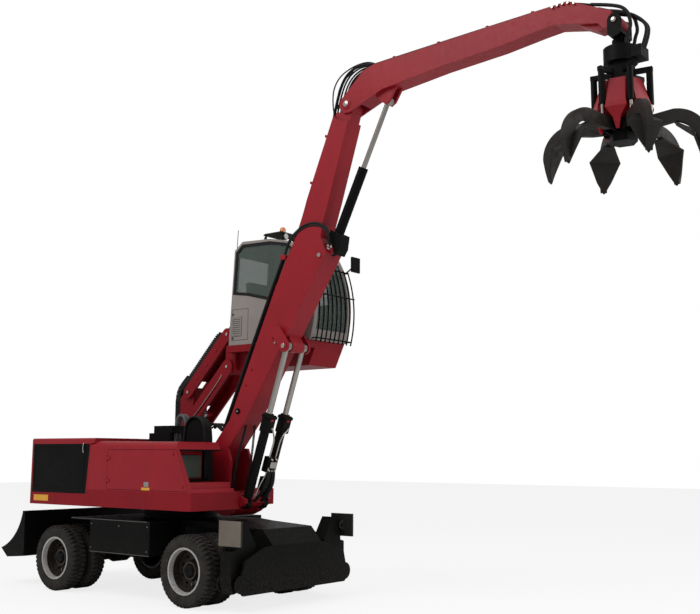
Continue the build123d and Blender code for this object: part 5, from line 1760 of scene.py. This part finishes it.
@dataclass
class Studio:
    """Pale floor, soft lamps and the camera at the photograph's viewpoint, in metres and degrees."""

    camera_place: Point = (12.580 + SLEW_X, -11.766, 2.204)
    yaw: float = 37.59
    pitch: float = 8.42
    roll: float = 0.27
    lens: float = 51.63
    film_width: float = 36.0
    far_end: float = 200.0
    lamp_target: Point = (0.0, 0.0, 3.0)
    lamp_rows: tuple[tuple[Point, float, float], ...] = (
        ((-3.0, -11.0, 17.0), 10.0, 1500.0), ((12.0, 3.0, 9.0), 8.0, 500.0))
    sky_strength: float = 0.55
    white: tuple[float, ...] = (1.0, 1.0, 1.0, 1.0)
    floor_size: float = 120.0
    floor_colour: tuple[float, ...] = (0.86, 0.86, 0.86, 1.0)
    floor_rough: float = 0.9
    floor_glow: float = 0.8

    def build(self) -> None:
        """Makes the camera, the lamps, the world and the floor."""
        self.camera()
        self.lamps()
        self.world()
        self.floor()

    def camera(self) -> None:
        """Places the camera."""
        bpy.ops.object.camera_add(location=self.camera_place)
        camera = bpy.context.object
        yaw, pitch = math.radians(self.yaw), math.radians(self.pitch)
        ahead = Vector((-math.sin(yaw) * math.cos(pitch), math.cos(yaw) * math.cos(pitch), math.sin(pitch)))
        right = ahead.cross(Vector(UPWARD)).normalized()
        up = right.cross(ahead)
        turn = Matrix((right, up, -ahead)).transposed().to_4x4()
        camera.rotation_euler = (turn @ Matrix.Rotation(math.radians(self.roll), 4, "Z")).to_euler()
        camera.data.lens = self.lens
        camera.data.sensor_width = self.film_width
        camera.data.clip_end = self.far_end
        bpy.context.scene.camera = camera

    def lamps(self) -> None:
        """Hangs one broad key lamp and a weak fill."""
        for place, size, power in self.lamp_rows:
            bpy.ops.object.light_add(type="AREA", location=place)
            lamp = bpy.context.object
            lamp.data.size = size
            lamp.data.energy = power
            beam = Vector(self.lamp_target) - Vector(place)
            lamp.rotation_euler = beam.to_track_quat("-Z", "Y").to_euler()

    def world(self) -> None:
        """Lights all round softly and shows a white ground to the camera and through the glass."""
        world = bpy.data.worlds.new("studio")
        bpy.context.scene.world = world
        world.use_nodes = True
        nodes, links = world.node_tree.nodes, world.node_tree.links
        nodes.clear()
        output = nodes.new("ShaderNodeOutputWorld")
        path, mix = nodes.new("ShaderNodeLightPath"), nodes.new("ShaderNodeMixShader")
        for number, strength in ((1, self.sky_strength), (2, 1.0)):
            sky = nodes.new("ShaderNodeBackground")
            sky.inputs[0].default_value = self.white
            sky.inputs[1].default_value = strength
            links.new(sky.outputs[0], mix.inputs[number])
        either = nodes.new("ShaderNodeMath")
        either.operation = Sum.LARGER.value
        links.new(path.outputs["Is Camera Ray"], either.inputs[0])
        links.new(path.outputs["Is Transmission Ray"], either.inputs[1])
        links.new(either.outputs[0], mix.inputs[0])
        links.new(mix.outputs[0], output.inputs[0])

    def floor(self) -> None:
        """Lays a pale floor that keeps the machine's shadow."""
        bpy.ops.mesh.primitive_plane_add(size=self.floor_size, location=(0, 0, 0))
        floor = bpy.context.object
        floor.name = "floor"
        material = bpy.data.materials.new("floor_pale")
        material.use_nodes = True
        nodes, links = material.node_tree.nodes, material.node_tree.links
        shader = nodes["Principled BSDF"]
        shader.inputs["Base Color"].default_value = self.floor_colour
        shader.inputs["Roughness"].default_value = self.floor_rough
        glow, mix = nodes.new("ShaderNodeEmission"), nodes.new("ShaderNodeMixShader")
        path, share = nodes.new("ShaderNodeLightPath"), nodes.new("ShaderNodeMath")
        share.operation = Sum.TIMES.value
        share.inputs[1].default_value = self.floor_glow
        links.new(path.outputs["Is Camera Ray"], share.inputs[0])
        links.new(share.outputs[0], mix.inputs[0])
        links.new(shader.outputs[0], mix.inputs[1])
        links.new(glow.outputs[0], mix.inputs[2])
        links.new(mix.outputs[0], nodes["Material Output"].inputs["Surface"])
        floor.data.materials.append(material)


def main() -> None:
    """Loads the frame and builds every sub-assembly."""
    logging.basicConfig(level=logging.INFO, format="%(message)s")
    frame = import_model()
    finishes = Finishes()
    bench = Bench(finishes)
    Studio().build()
    CarriedNodes(finishes).build(frame["nodes"])
    for group in (TyreSet, HoseWork, CabTrim, HoodTrim, ArmTrim, LiftTrim, RiserTrim, ChassisTrim):
        group(bench).build()
    LOG.info("%d pieces added", bench.count)
    bpy.context.scene.view_settings.view_transform = "Standard"


if __name__ == "__main__":
    main()
